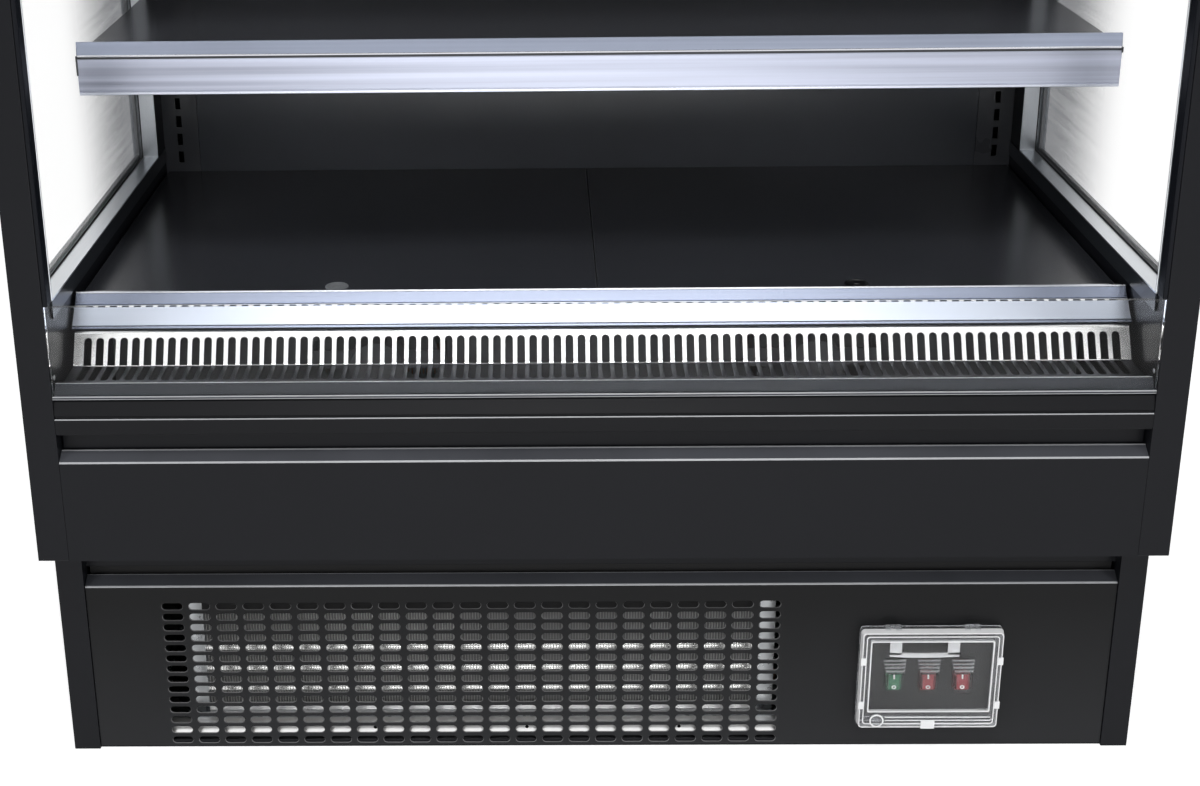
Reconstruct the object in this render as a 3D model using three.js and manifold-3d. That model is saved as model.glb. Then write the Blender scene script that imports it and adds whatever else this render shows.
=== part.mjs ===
// An open multideck display fridge, 1100 mm wide, with glazed side panels.
// Millimetres, +Z up. X runs across the fridge and Y runs from its front plane to its back;
// the whole cabinet is then moved so that the origin is under the middle of its footprint.

import * as THREE from 'three';
import { mergeVertices } from 'three/addons/utils/BufferGeometryUtils.js';
import Module from 'manifold-3d';

const wasm = await Module();
wasm.setup();

// ---- Overall sizes ----
const width = 1100;
const depth = 700;
const height = 1980;
const seat = 0.3; // gap between pieces that rest against each other
const sheet = 1.5; // folded sheet metal
const frameSheet = 2; // heavier sheet of the welded base

// ---- Base ----
const baseHeight = 246;
const baseSetback = 50; // how far the base stands behind the front plane
const baseRearInset = 10;
const baseSideInset = 1;
const columnWidth = 27;
const frontFlange = 35; // depth of the floor flanges across the base
const rearFlange = 50;
const topFlange = 30;
const crossRailHeight = 41;
const kickSetback = 2; // kick panel behind the column faces
const kickTopDrop = 56; // top of the base to the kick panel's edge
const kickGap = 3; // under the kick panel
const sideClearance = 0.5;
const flangeDepth = 14; // sloping top edge of the kick and front panels
const flangeRise = 7.5;
const footPadRadius = 18;
const footPadHeight = 8;
const footStudRadius = 5;
const footStudSpare = 8; // stud above its plate with the foot wound out
const footClearance = 4; // pad to the floor flanges
const footInset = 50; // from the outer side of the fridge to a foot's axis
const footTravel = 15;
const cornerPlateSize = 40;
const cornerPlateZ = 17;
const cornerPlateThickness = 3;

// ---- Kick panel slots and switch box ----
const slotWidth = 21.5;
const slotHeight = 8;
const slotPitchX = 27.65;
const slotPitchZ = 12.1;
const slotRows = 14;
const slotBottomZ = 9.5; // centre of the lowest row
const slotSideMargin = 76; // kick panel's left edge to the first slot
const switchBoxWidth = 144;
const switchBoxHeight = 112;
const switchBoxBottom = 30.7;
const switchBoxSideMargin = 112; // box to the kick panel's right edge
const switchBoxRim = 7.7;
const switchBoxWall = 1.8;
const switchBoxClearance = 58; // from the box to the nearest slot
const lidDepth = 7.7;
const rockerPitch = 34.9;
const rockerHeightInBox = 48.3; // box's lower edge to the rocker pivots
const rockerWidth = 12.5;
const rockerLength = 17;
const rockerTilt = 10; // degrees
const rockerWaist = 2.4; // how far the rocker stands out at its middle
const rockerEnd = 4.4; // and at its two ends
const rockerRoot = 3.5;
const rockerGap = 0.6;
const bezelWall = 1.8;
const bezelProud = 1.5;
const capWall = 1.2;
const capHeight = 8.4;
const housingDepth = 22;
const hingeRadius = 2.2;
const hingePinRadius = 1;
const hingeKnuckle = 5;
const hingeOffset = 40; // box middle to each hinge
const hingeLeaf = 3;
const catchWidth = 14;
const catchHeight = 9;
const catchProud = 1.2;

// ---- Body ----
const floorThickness = 44.5;
const backThickness = 45;
const roofThickness = 50;
const sideThickness = 30;
const frontPanelHeight = 105;
const recessHeight = 28.5; // shadow gap between front panel and bumper
const bumperHeight = 36;
const bumperDepth = 17.7;
const bumperGroove = 3; // height of the groove between its two bands
const frontWallY = 18;
const frontWallThickness = 28;
const floorSetForward = 2; // floor in front of the front wall
const guardThickness = 5;
const guardY = 2;
const guardHeight = 93; // above the bumper
const guardRailHeight = 11.5;
const guardRailDepth = 26;
const guardRailWall = 1.2;
const grilleOverlap = 8; // grille plate on the rail
const grilleDepth = 42; // flat part of the return grille
const grilleRun = 18.5; // sloping part, backwards
const grilleRise = 29; // sloping part, upwards
const grilleSlotWidth = 6.6;
const grilleSlotPitch = 11.75;
const grilleSlotEnd = 6;
const grilleSideMargin = 20;
const grilleSideGap = 2;
const grilleLip = 3;

// ---- Deck, rails and shelves ----
const deckAboveGrille = 48.5;
const deckFrontY = 113;
const railRun = 29; // sloping price rail of the deck, backwards
const railRise = 28;
const railAboveDeck = 10;
const railThickness = 2.6;
const deckLedge = 16;
const panLip = 15;
const panSeam = 1;
const panSideGap = 2.5; // lets a pan lift past the window trims
const ductDepth = 58; // air duct between the inner back panel and the insulated back
const shelfCount = 4;
const shelfDepth = 400;
const shelfRearGap = 5;
const shelfSideGap = 12;
const shelfLip = 30;
const bracketThickness = 3;
const bracketFront = 25;
const bracketRear = 75;
const hookDepth = 6;
const hookHeight = 10;
const shelfAboveHook = 17.2;
const ticketHeight = 39;
const ticketLip = 14;
const ticketThickness = 4.7;
const ticketWall = 1.5;
const ticketSideGap = 5;
const ticketAboveShelf = 8;

// ---- Slotted uprights ----
const uprightWidth = 42.7;
const uprightSlotWidth = 6.5;
const uprightSlotHeight = 14.5;
const uprightSlotPitch = 22.3;
const uprightSlotInset = 20; // inner side face to the slots' centre line
const uprightFirstSlot = 18; // above the deck
const firstShelfSlot = 9;
const lowerHookSlots = 2; // slots between the two hooks of a bracket
const shelfSlots = 12; // slots from one shelf to the next

// ---- Side windows ----
const postDepth = 30;
const rearStile = 152;
const windowAboveDeck = 31;
const windowTopMargin = 120;
const revealWidth = 17;
const revealLip = 18;
const paneThickness = 4;
const paneGap = 4;

// ---- Canopy ----
const fasciaHeight = 190;
const fasciaDepth = 36;
const ceilingDrop = 105; // top of the fridge to the ceiling sheet
const outletSlotLength = 60;
const outletSlotWidth = 30;
const outletSlotPitch = 40;
const outletY = 52;
const lampY = 138;
const lampWidth = 24;
const lampHeight = 20;
const lampSideGap = 40;

// ---- Refrigeration ----
const trayLip = 24;
const trayGap = 8; // tray to the kick panel and to the rear edge
const traySideInset = 72;
const coilY = 88;
const coilDepth = 44;
const coilClearance = 20; // coil above the base tray
const coilTopDrop = 50; // top of the base to the coil
const endFlange = 16;
const endPlateProud = 4; // end plates above the coil
const coilSlotOverlap = 6.4; // left end of the coil behind the second column of slots
const shroudDepth = 28;
const rotorInset = 8; // rotor face in front of the shroud's back
const rotorWidth = 16;
const bladeThickness = 1.5;
const bladePitch = Math.PI / 7;
const bladeRoot = 3; // blades let into the hub
const condenserFanRadius = 74;
const fanTipGap = 4;
const fanHubRadius = 22;
const fanShaftRadius = 4;
const fanBlades = 5;
const motorRadius = 34;
const motorLength = 34;
const motorGap = 24; // fan plate to the motor
const strapThickness = 3;
const strapHalfHeight = 10;
const strapFoot = 4;
const compressorRadius = 74;
const compressorHeight = 165;
const compressorX = -300;
const compressorY = 390;
const compressorPlate = 3;
const compressorLift = 15; // shell above its plate's underside
const weldBand = 3;
const mountRadius = 9;
const mountHeight = 24;
const pipeReturn = 30; // pipe run to the left of the coil
const pipeBend = 25;
const pipeRadius = 4;
const evaporatorWidth = 880;
const evaporatorY = 300;
const evaporatorDepth = 220;
const evaporatorHeight = 140;
const evaporatorClearance = 9;
const evaporatorFanGap = 3; // rotor in front of its plate
const fanPlateY = 250;
const fanPlateHeight = 160;
const evaporatorFanRadius = 62;
const evaporatorFanX = 230;
const waterTrayWidth = 260;
const waterTrayDepth = 150;
const waterTrayHeight = 60;
const waterTrayX = 120;
const waterTrayRearGap = 70;
const waterTrayWall = 2;
const controlBoxDepth = 70;
const controlBoxHeight = 120;
const controlBoxY = 110;
const controlCoverGap = 2;
const controlCoverDepth = 11;
const glandRadius = 9;
const glandLength = 12;
const glandX = 380;
const glandZ = 60;
const ventWidth = 90;
const ventHeight = 8;
const ventRows = 6;
const ventColumns = 3;

// ---- Places worked out from the sizes above ----
const sideFace = width / 2 - sideThickness; // inner faces of the side panels
const innerHalf = sideFace - seat;
const bodyBottom = baseHeight + seat;
const frontPanelTop = bodyBottom + frontPanelHeight;
const bumperBottom = frontPanelTop + recessHeight;
const bumperTop = bumperBottom + bumperHeight;
const grilleLevel = bumperTop + guardRailHeight;
const grilleFrontY = guardRailDepth - grilleOverlap;
const deckLevel = grilleLevel + deckAboveGrille;
const windowBottom = deckLevel + windowAboveDeck;
const windowTop = height - windowTopMargin;
const windowRearY = depth - rearStile;
const floorTop = bodyBottom + floorThickness;
const backFront = depth - backThickness;
const innerDepth = backFront - ductDepth; // front plane to the inner back panel
const ceilingLevel = height - ceilingDrop;
const baseFront = baseSetback;
const baseBack = depth - baseRearInset;
const baseHalf = width / 2 - baseSideInset;
const kickY = baseFront + kickSetback;
const kickTop = baseHeight - kickTopDrop;
const kickHalf = baseHalf - columnWidth - sideClearance;
const uprightSlotX = sideFace - uprightSlotInset;
const backPanelHalf = innerHalf - uprightWidth - seat;
const shelfHalf = sideFace - shelfSideGap;
const shelfRearY = innerDepth - shelfRearGap;
const shelfFrontY = shelfRearY - shelfDepth;
const trayHalf = width / 2 - traySideInset;
const trayFloor = frameSheet + seat + sheet;
const boxRight = kickHalf - switchBoxSideMargin;
const boxLeft = boxRight - switchBoxWidth;
const boxTop = switchBoxBottom + switchBoxHeight;
const boxMiddle = (boxLeft + boxRight) / 2;
const boxBackY = kickY - seat;
const boxRimY = boxBackY - switchBoxRim;
const plateFaceY = boxBackY - sheet;
const hingeY = boxRimY - seat;
const hingeZ = boxTop + hingeRadius + seat;
const rockerZ = switchBoxBottom + rockerHeightInBox;
const rockerX = (index) => boxMiddle + (index - 1) * rockerPitch;
const housingHalfWidth = rockerWidth / 2 + rockerGap + bezelWall;
const housingHalfHeight = rockerLength / 2 + rockerGap + bezelWall;
const firstSlotX = -kickHalf + slotSideMargin + slotWidth / 2;
const slotRoom = boxLeft - switchBoxClearance - slotWidth / 2 - firstSlotX;
const slotColumns = Math.floor(slotRoom / slotPitchX) + 1;
const lastSlotX = firstSlotX + (slotColumns - 1) * slotPitchX;
const coilLeft = firstSlotX + slotPitchX - slotWidth / 2 + coilSlotOverlap;
const coilRight = lastSlotX + slotWidth / 2 - endFlange;
const coilMiddle = (coilLeft + coilRight) / 2;
const coilBottom = trayFloor + coilClearance;
const coilTop = baseHeight - coilTopDrop;
const shroudY = coilY + coilDepth + seat;
const condenserFanZ = (coilTop + coilBottom) / 2;
const evaporatorFanZ = floorTop + fanPlateHeight / 2;
const uprightSlotZ = (index) => deckLevel + uprightFirstSlot + index * uprightSlotPitch;
const shelfLevel = (index) => uprightSlotZ(firstShelfSlot + index * shelfSlots) + shelfAboveHook;

// ---- Solid helpers ----
function solid(geometry) {
  geometry.deleteAttribute('normal');
  geometry.deleteAttribute('uv');
  const merged = mergeVertices(geometry, 1e-4);
  return new wasm.Manifold(new wasm.Mesh({
    numProp: 3,
    vertProperties: merged.attributes.position.array,
    triVerts: new Uint32Array(merged.index.array),
  }));
}

function geometryOf(body) {
  const mesh = body.getMesh();
  const geometry = new THREE.BufferGeometry();
  geometry.setAttribute('position', new THREE.BufferAttribute(mesh.vertProperties, 3));
  geometry.setIndex(new THREE.BufferAttribute(mesh.triVerts, 1));
  const faceted = geometry.toNonIndexed();
  faceted.computeVertexNormals();
  return faceted;
}

// A box from its [low, high] range on each axis.
function block(x, y, z) {
  const box = new THREE.BoxGeometry(x[1] - x[0], y[1] - y[0], z[1] - z[0]);
  box.translate((x[0] + x[1]) / 2, (y[0] + y[1]) / 2, (z[0] + z[1]) / 2);
  return solid(box);
}

// An outline of [y, z] points carried along X.
function prismX(outline, x) {
  const shape = new THREE.Shape(outline.map(([y, z]) => new THREE.Vector2(y, z)));
  const prism = new THREE.ExtrudeGeometry(shape, { depth: x[1] - x[0], bevelEnabled: false });
  const axes = new THREE.Matrix4().makeBasis(
    new THREE.Vector3(0, 1, 0), new THREE.Vector3(0, 0, 1), new THREE.Vector3(1, 0, 0));
  prism.applyMatrix4(axes);
  prism.translate(x[0], 0, 0);
  return solid(prism);
}

// A round bar along Y, with its axis at x, z.
function barY(radius, x, y, z, sides = 20) {
  const bar = new THREE.CylinderGeometry(radius, radius, y[1] - y[0], sides);
  bar.translate(x, (y[0] + y[1]) / 2, z);
  return solid(bar);
}

function barZ(radius, x, y, z, sides = 20) {
  const bar = new THREE.CylinderGeometry(radius, radius, z[1] - z[0], sides);
  bar.rotateX(Math.PI / 2);
  bar.translate(x, y, (z[0] + z[1]) / 2);
  return solid(bar);
}

function barX(radius, x, y, z, sides = 10) {
  const bar = new THREE.CylinderGeometry(radius, radius, x[1] - x[0], sides);
  bar.rotateZ(Math.PI / 2);
  bar.translate((x[0] + x[1]) / 2, y, z);
  return solid(bar);
}

const join = (bodies) => bodies.reduce((all, body) => all.add(body));
const cut = (body, tools) => body.subtract(join(tools));
const across = (half) => [-half, half];
const onSide = (side, near, far) => (side > 0 ? [near, far] : [-far, -near]);
const range = (count) => Array.from({ length: count }, (_, index) => index);

// ---- Base ----
function baseFrame() {
  const y = [baseFront, baseBack];
  const columnInner = baseHalf - columnWidth;
  const railY = kickY + flangeDepth + frameSheet;
  const pieces = [
    block(across(columnInner + frameSheet), [kickY + sheet + seat, kickY + sheet + seat + frameSheet],
      [0, slotBottomZ - 1]),
    block(across(baseHalf), [kickY + sheet + seat, baseFront + frontFlange], [0, frameSheet]),
    block(across(baseHalf), [baseBack - rearFlange, baseBack], [0, frameSheet]),
    block(across(baseHalf - frameSheet / 2), [railY, railY + frameSheet],
      [baseHeight - crossRailHeight, baseHeight]),
    block(across(baseHalf), [railY, railY + topFlange], [baseHeight - frameSheet, baseHeight]),
    block(across(baseHalf), [baseBack - topFlange, baseBack], [baseHeight - frameSheet, baseHeight]),
  ];
  for (const side of [-1, 1]) {
    pieces.push(block(onSide(side, baseHalf - frameSheet, baseHalf), y, [0, baseHeight]));
    pieces.push(block(onSide(side, columnInner, baseHalf), [baseFront, baseFront + frameSheet],
      [0, baseHeight]));
    pieces.push(block(onSide(side, columnInner, columnInner + frameSheet),
      [baseFront, railY + frameSheet], [0, baseHeight]));
    pieces.push(block(onSide(side, columnInner, baseHalf), y, [0, frameSheet]));
    pieces.push(block(onSide(side, columnInner, baseHalf), y,
      [baseHeight - frameSheet, baseHeight]));
    pieces.push(block(onSide(side, columnInner, baseHalf), [baseBack - frameSheet, baseBack],
      [0, baseHeight]));
    for (const footY of footPlaces()) {
      const footX = width / 2 - footInset;
      const plate = block(onSide(side, footX - cornerPlateSize / 2, baseHalf),
        [footY - cornerPlateSize / 2, footY + cornerPlateSize / 2],
        [cornerPlateZ - cornerPlateThickness, cornerPlateZ]);
      pieces.push(cut(plate, [barZ(footStudRadius + seat, side * footX, footY,
        [0, cornerPlateZ + footTravel])]));
    }
  }
  return join(pieces);
}

function footPlaces() {
  const reach = footPadRadius + footClearance;
  return [baseFront + frontFlange + reach, baseBack - rearFlange - reach];
}

function levellingFoot() {
  const pad = barZ(footPadRadius, 0, 0, [0, footPadHeight]);
  const stud = barZ(footStudRadius, 0, 0,
    [0, cornerPlateZ + footTravel + footStudSpare]);
  return join([pad, stud]);
}

function baseTray() {
  const y = [kickY + trayGap, baseBack - trayGap];
  const outer = block(across(trayHalf), y, [frameSheet + seat, trayLip]);
  const inner = block(across(trayHalf - sheet), [y[0] + sheet, y[1] - sheet],
    [trayFloor, trayLip + 1]);
  return cut(outer, [inner]);
}

function baseRearPanel() {
  const y = [baseBack - frameSheet - seat - sheet, baseBack - frameSheet - seat];
  const z = [frameSheet + seat, baseHeight - frameSheet - seat];
  const panel = block(across(baseHalf - frameSheet - seat), y, z);
  const vents = [];
  for (const column of range(ventColumns)) {
    for (const row of range(ventRows)) {
      const x = (column - (ventColumns - 1) / 2) * ventWidth * 1.5;
      const low = (z[0] + z[1]) / 2 + (row - ventRows / 2) * ventHeight * 2.5;
      vents.push(block([x - ventWidth / 2, x + ventWidth / 2], [y[0] - 1, y[1] + 1],
        [low, low + ventHeight]));
    }
  }
  const gland = barY(glandRadius, glandX, [y[0], y[1] + glandLength], glandZ);
  const hole = barY(glandRadius / 2, glandX, [y[0] - 1, y[1] + glandLength + 1], glandZ);
  return cut(join([cut(panel, vents), gland]), [hole]);
}

// ---- Kick panel with its switch box ----
function kickPanel() {
  const outline = [
    [kickY, kickGap],
    [kickY, kickTop],
    [kickY + flangeDepth, kickTop + flangeRise],
    [kickY + flangeDepth, kickTop + flangeRise - sheet],
    [kickY + sheet, kickTop - sheet],
    [kickY + sheet, kickGap],
  ];
  const panel = prismX(outline, across(kickHalf));
  const through = [kickY - 1, kickY + sheet + 1];
  const slots = [];
  for (const column of range(slotColumns)) {
    for (const row of range(slotRows)) {
      const x = firstSlotX + column * slotPitchX;
      const z = slotBottomZ + row * slotPitchZ;
      slots.push(block([x - slotWidth / 2, x + slotWidth / 2], through,
        [z - slotHeight / 2, z + slotHeight / 2]));
    }
  }
  const reach = rockerPitch + housingHalfWidth + seat;
  slots.push(block([boxMiddle - reach, boxMiddle + reach], through,
    [rockerZ - housingHalfHeight - seat, rockerZ + housingHalfHeight + seat]));
  return cut(panel, slots);
}

function switchBoxBase() {
  const x = [boxLeft, boxRight];
  const z = [switchBoxBottom, boxTop];
  const wall = switchBoxWall;
  const outer = block(x, [boxRimY, boxBackY], z);
  const inner = block([x[0] + wall, x[1] - wall], [boxRimY - 1, plateFaceY],
    [z[0] + wall, z[1] - wall]);
  const pieces = [cut(outer, [inner])];
  const wells = [];
  for (const index of range(3)) {
    const middle = rockerX(index);
    const halfX = housingHalfWidth;
    const halfZ = housingHalfHeight;
    pieces.push(block([middle - halfX, middle + halfX],
      [plateFaceY - bezelProud, plateFaceY + housingDepth], [rockerZ - halfZ, rockerZ + halfZ]));
    wells.push(block([middle - halfX + bezelWall, middle + halfX - bezelWall],
      [plateFaceY - bezelProud - 1, plateFaceY + housingDepth - bezelWall],
      [rockerZ - halfZ + bezelWall, rockerZ + halfZ - bezelWall]));
  }
  for (const end of [-1, 1]) {
    const middle = boxMiddle + end * hingeOffset;
    const knuckle = [middle - hingeKnuckle / 2, middle + hingeKnuckle / 2];
    pieces.push(barX(hingeRadius, knuckle, hingeY, hingeZ));
    pieces.push(block(knuckle, [hingeY, hingeY + hingeLeaf], [boxTop - wall, hingeZ]));
    const pin = [middle - hingeKnuckle * 1.5, middle + hingeKnuckle * 1.5];
    pieces.push(barX(hingePinRadius, pin, hingeY, hingeZ));
  }
  return cut(join(pieces), wells);
}

function switchBoxLid() {
  const x = [boxLeft, boxRight];
  const z = [switchBoxBottom, boxTop];
  const wall = switchBoxWall;
  const y = [hingeY - lidDepth, hingeY];
  const outer = block(x, y, z);
  const inner = block([x[0] + wall, x[1] - wall], [y[0] + wall, y[1] + 1],
    [z[0] + wall, z[1] - wall]);
  const catchTab = block([boxMiddle - catchWidth / 2, boxMiddle + catchWidth / 2],
    [y[0] - catchProud, y[1] - wall], [switchBoxBottom, switchBoxBottom + catchHeight]);
  const pieces = [cut(outer, [inner]), catchTab];
  const bores = [];
  for (const end of [-1, 1]) {
    for (const beside of [-1, 1]) {
      const middle = boxMiddle + end * hingeOffset + beside * (hingeKnuckle + seat);
      const knuckle = [middle - hingeKnuckle / 2, middle + hingeKnuckle / 2];
      pieces.push(barX(hingeRadius, knuckle, hingeY, hingeZ));
      pieces.push(block(knuckle, [hingeY - hingeLeaf, hingeY], [boxTop - wall, hingeZ]));
      bores.push(barX(hingePinRadius + seat, [knuckle[0] - 1, knuckle[1] + 1], hingeY, hingeZ));
    }
  }
  return cut(join(pieces), bores);
}

// A rocker pressed in at its top, around its own pivot at the origin.
function rocker() {
  const half = rockerLength / 2;
  const root = half * 0.6;
  const outline = [[rockerRoot, -root], [-rockerEnd, -half], [-rockerWaist, 0],
    [-rockerEnd, half], [rockerRoot, root]];
  return prismX(outline, across(rockerWidth / 2));
}

function rockerCap() {
  const halfX = housingHalfWidth + seat;
  const halfZ = housingHalfHeight + seat;
  const outer = block(across(halfX + capWall), [-capHeight, 0], across(halfZ + capWall));
  const inner = block(across(halfX), [capWall - capHeight, 1], across(halfZ));
  return cut(outer, [inner]);
}

// ---- Insulated body ----
const bodyFloor = () => block(across(innerHalf), [frontWallY - floorSetForward, depth],
  [bodyBottom, floorTop]);
const bodyBack = () => block(across(innerHalf), [backFront, depth],
  [floorTop + seat, height - roofThickness - seat]);
const bodyFrontWall = () => block(across(innerHalf), [frontWallY, frontWallY + frontWallThickness],
  [floorTop + seat, bumperTop]);
const bodyRoof = () => block(across(innerHalf), [sheet + seat, depth],
  [height - roofThickness, height]);

function sidePanel(side) {
  const x = onSide(side, sideFace, width / 2);
  const lining = sheet + seat;
  const panel = block(x, [0, depth], [bodyBottom, height]);
  const opening = block(onSide(side, sideFace - 1, width / 2 + 1),
    [postDepth - lining, windowRearY + lining], [windowBottom - lining, windowTop + lining]);
  return cut(panel, [opening]);
}

// The bright reveal lining of a window, with its strip below the ledge.
function windowTrim(side) {
  const x = onSide(side, sideFace - sheet - seat, width / 2 - seat);
  const lip = onSide(side, sideFace - sheet - seat, sideFace - seat);
  const outer = block(x, [postDepth - sheet, windowRearY + sheet],
    [windowBottom - sheet, windowTop + sheet]);
  const inner = block(onSide(side, sideFace - 10, width / 2 + 1), [postDepth, windowRearY],
    [windowBottom, windowTop]);
  const strip = block(lip, [postDepth - sheet, innerDepth - seat],
    [windowBottom - revealLip, windowBottom]);
  return join([cut(outer, [inner]), strip]);
}

function windowPane(side, fromInside) {
  const near = sideFace + revealWidth + fromInside;
  return block(onSide(side, near, near + paneThickness), [postDepth + seat, windowRearY - seat],
    [windowBottom + seat, windowTop - seat]);
}

// ---- Front ----
function frontPanel() {
  const outline = [
    [0, bodyBottom],
    [0, frontPanelTop],
    [flangeDepth, frontPanelTop + flangeRise],
    [frontWallY - seat, frontPanelTop + flangeRise],
    [frontWallY - seat, frontPanelTop + flangeRise - sheet],
    [flangeDepth, frontPanelTop + flangeRise - sheet],
    [sheet, frontPanelTop - sheet],
    [sheet, bodyBottom + sheet],
    [flangeDepth, bodyBottom + sheet],
    [flangeDepth, bodyBottom],
  ];
  return prismX(outline, across(innerHalf));
}

function bumper() {
  const band = bumperHeight / 2;
  const back = Math.min(bumperDepth, frontWallY - seat);
  const outline = [
    [back, bumperBottom],
    [1, bumperBottom],
    [0, bumperBottom + 2],
    [0, bumperBottom + band - bumperGroove / 2],
    [2, bumperBottom + band],
    [3, bumperTop - 2],
    [5, bumperTop],
    [back, bumperTop],
  ];
  return prismX(outline, across(innerHalf));
}

function guardRail() {
  const low = bumperTop + seat;
  const slotBottom = low + sheet;
  const back = guardY + guardThickness + 2 * seat;
  const outline = [
    [guardY - seat - guardRailWall, low],
    [guardRailDepth, low],
    [guardRailDepth, grilleLevel - sheet - seat],
    [grilleFrontY - seat, grilleLevel - sheet - seat],
    [grilleFrontY - seat, grilleLevel],
    [grilleFrontY - 2, grilleLevel],
    [back, slotBottom + 1],
    [back, slotBottom],
    [guardY - seat, slotBottom],
    [guardY - seat, slotBottom + 2],
    [guardY - seat - guardRailWall, slotBottom + 2],
  ];
  return prismX(outline, across(innerHalf));
}

const guardGlass = () => block(across(innerHalf), [guardY, guardY + guardThickness],
  [bumperTop + sheet + 2 * seat, bumperTop + guardHeight]);

function returnGrille() {
  const bendY = grilleFrontY + grilleDepth;
  const topY = bendY + grilleRun;
  const topZ = grilleLevel + grilleRise;
  const outline = [
    [grilleFrontY, grilleLevel],
    [bendY, grilleLevel],
    [topY, topZ],
    [topY + grilleLip, topZ],
    [topY + grilleLip, topZ - sheet],
    [topY + 1, topZ - sheet],
    [bendY + 1, grilleLevel - sheet],
    [grilleFrontY, grilleLevel - sheet],
  ];
  const halfLength = innerHalf - grilleSideGap;
  const plate = prismX(outline, across(halfLength));
  const slope = Math.hypot(grilleRun, grilleRise);
  const endY = topY - grilleSlotEnd * grilleRun / slope;
  const endZ = topZ - grilleSlotEnd * grilleRise / slope;
  const count = Math.floor((2 * halfLength - 2 * grilleSideMargin) / grilleSlotPitch) + 1;
  const slots = range(count).map((index) => {
    const x = (index - (count - 1) / 2) * grilleSlotPitch;
    const cutter = [
      [grilleFrontY + grilleSlotEnd, grilleLevel + 1],
      [bendY, grilleLevel + 1],
      [endY - 2, endZ + 2],
      [endY + 3, endZ - 1],
      [bendY + 3, grilleLevel - sheet - 1],
      [grilleFrontY + grilleSlotEnd, grilleLevel - sheet - 1],
    ];
    return prismX(cutter, [x - grilleSlotWidth / 2, x + grilleSlotWidth / 2]);
  });
  return cut(plate, slots);
}

// ---- Deck ----
function deckRail() {
  const top = deckLevel + railAboveDeck;
  const lowY = deckFrontY - railRun;
  const lowZ = top - railRise;
  const ledgeTop = deckLevel - sheet - seat;
  const outline = [
    [lowY, lowZ],
    [deckFrontY, top],
    [deckFrontY + railThickness, top],
    [deckFrontY + railThickness, ledgeTop],
    [deckFrontY + deckLedge, ledgeTop],
    [deckFrontY + deckLedge, ledgeTop - sheet],
    [deckFrontY + railThickness - sheet, ledgeTop - sheet],
    [deckFrontY + railThickness - sheet, top - railThickness * 1.5],
    [lowY + railThickness, lowZ - railThickness],
  ];
  return prismX(outline, across(innerHalf));
}

function deckPan(side) {
  const outer = innerHalf - panSideGap;
  const inner = panSeam / 2;
  const y = [deckFrontY + railThickness + seat, innerDepth - seat];
  const lipY = [deckFrontY + deckLedge + seat, innerDepth - deckLedge - seat];
  const lipZ = [deckLevel - panLip, deckLevel];
  return join([
    block(onSide(side, inner, outer), y, [deckLevel - sheet, deckLevel]),
    block(onSide(side, inner, inner + sheet), lipY, lipZ),
    block(onSide(side, outer - sheet, outer), lipY, lipZ),
  ]);
}

function backPanel() {
  const ledgeTop = deckLevel - sheet - seat;
  return join([
    block(across(backPanelHalf), [innerDepth, innerDepth + sheet],
      [ledgeTop - sheet, ceilingLevel - seat]),
    block(across(backPanelHalf), [innerDepth - deckLedge + seat, innerDepth + sheet],
      [ledgeTop - sheet, ledgeTop]),
  ]);
}

function upright(side) {
  const z = [deckLevel - sheet - seat - sheet, ceilingLevel - seat];
  const near = innerHalf - uprightWidth;
  const face = block(onSide(side, near, innerHalf), [innerDepth, innerDepth + sheet], z);
  const count = Math.floor((z[1] - uprightSlotZ(0)) / uprightSlotPitch);
  const x = onSide(side, uprightSlotX - uprightSlotWidth / 2, uprightSlotX + uprightSlotWidth / 2);
  const slots = range(count).map((index) => block(x, [innerDepth - 1, innerDepth + sheet + 1],
    [uprightSlotZ(index) - uprightSlotHeight / 2, uprightSlotZ(index) + uprightSlotHeight / 2]));
  const flangeY = [innerDepth, backFront - seat];
  return join([
    cut(face, slots),
    block(onSide(side, near, near + sheet), flangeY, z),
    block(onSide(side, innerHalf - sheet, innerHalf), flangeY, z),
  ]);
}

// ---- Shelves, drawn with the shelf surface at z = 0 ----
function shelf() {
  const pieces = [
    block(across(shelfHalf), [shelfFrontY, shelfRearY], [-sheet, 0]),
    block(across(shelfHalf), [shelfFrontY, shelfFrontY + sheet], [-shelfLip, 0]),
    block(across(shelfHalf), [shelfRearY - sheet, shelfRearY], [-shelfLip / 2, 0]),
  ];
  for (const side of [-1, 1]) {
    const x = onSide(side, uprightSlotX - bracketThickness / 2, uprightSlotX + bracketThickness / 2);
    pieces.push(prismX([
      [shelfFrontY + sheet / 2, -sheet / 2],
      [shelfFrontY + sheet / 2, -bracketFront],
      [innerDepth - seat, -bracketRear],
      [innerDepth - seat, -sheet / 2],
    ], x));
    for (const drop of [0, lowerHookSlots * uprightSlotPitch]) {
      const hookZ = -shelfAboveHook - drop;
      pieces.push(block(x, [innerDepth - 2, innerDepth + hookDepth],
        [hookZ - hookHeight / 2, hookZ + hookHeight / 2]));
    }
  }
  return join(pieces);
}

function shelfRail() {
  const back = shelfFrontY - seat;
  const front = back - ticketThickness;
  const top = ticketAboveShelf;
  const outline = [
    [back, top],
    [back - 2, top],
    [front + 1, top - ticketLip],
    [front, top - ticketLip - 1],
    [front, top - ticketLip - ticketHeight],
    [back, top - ticketLip - ticketHeight],
    [back, top - ticketLip - ticketHeight + ticketWall],
    [front + ticketWall, top - ticketLip - ticketHeight + ticketWall],
    [front + ticketWall, top - ticketLip - 2 * ticketWall],
    [back, top - ticketLip - 2 * ticketWall],
  ];
  return prismX(outline, across(sideFace - ticketSideGap));
}

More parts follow.
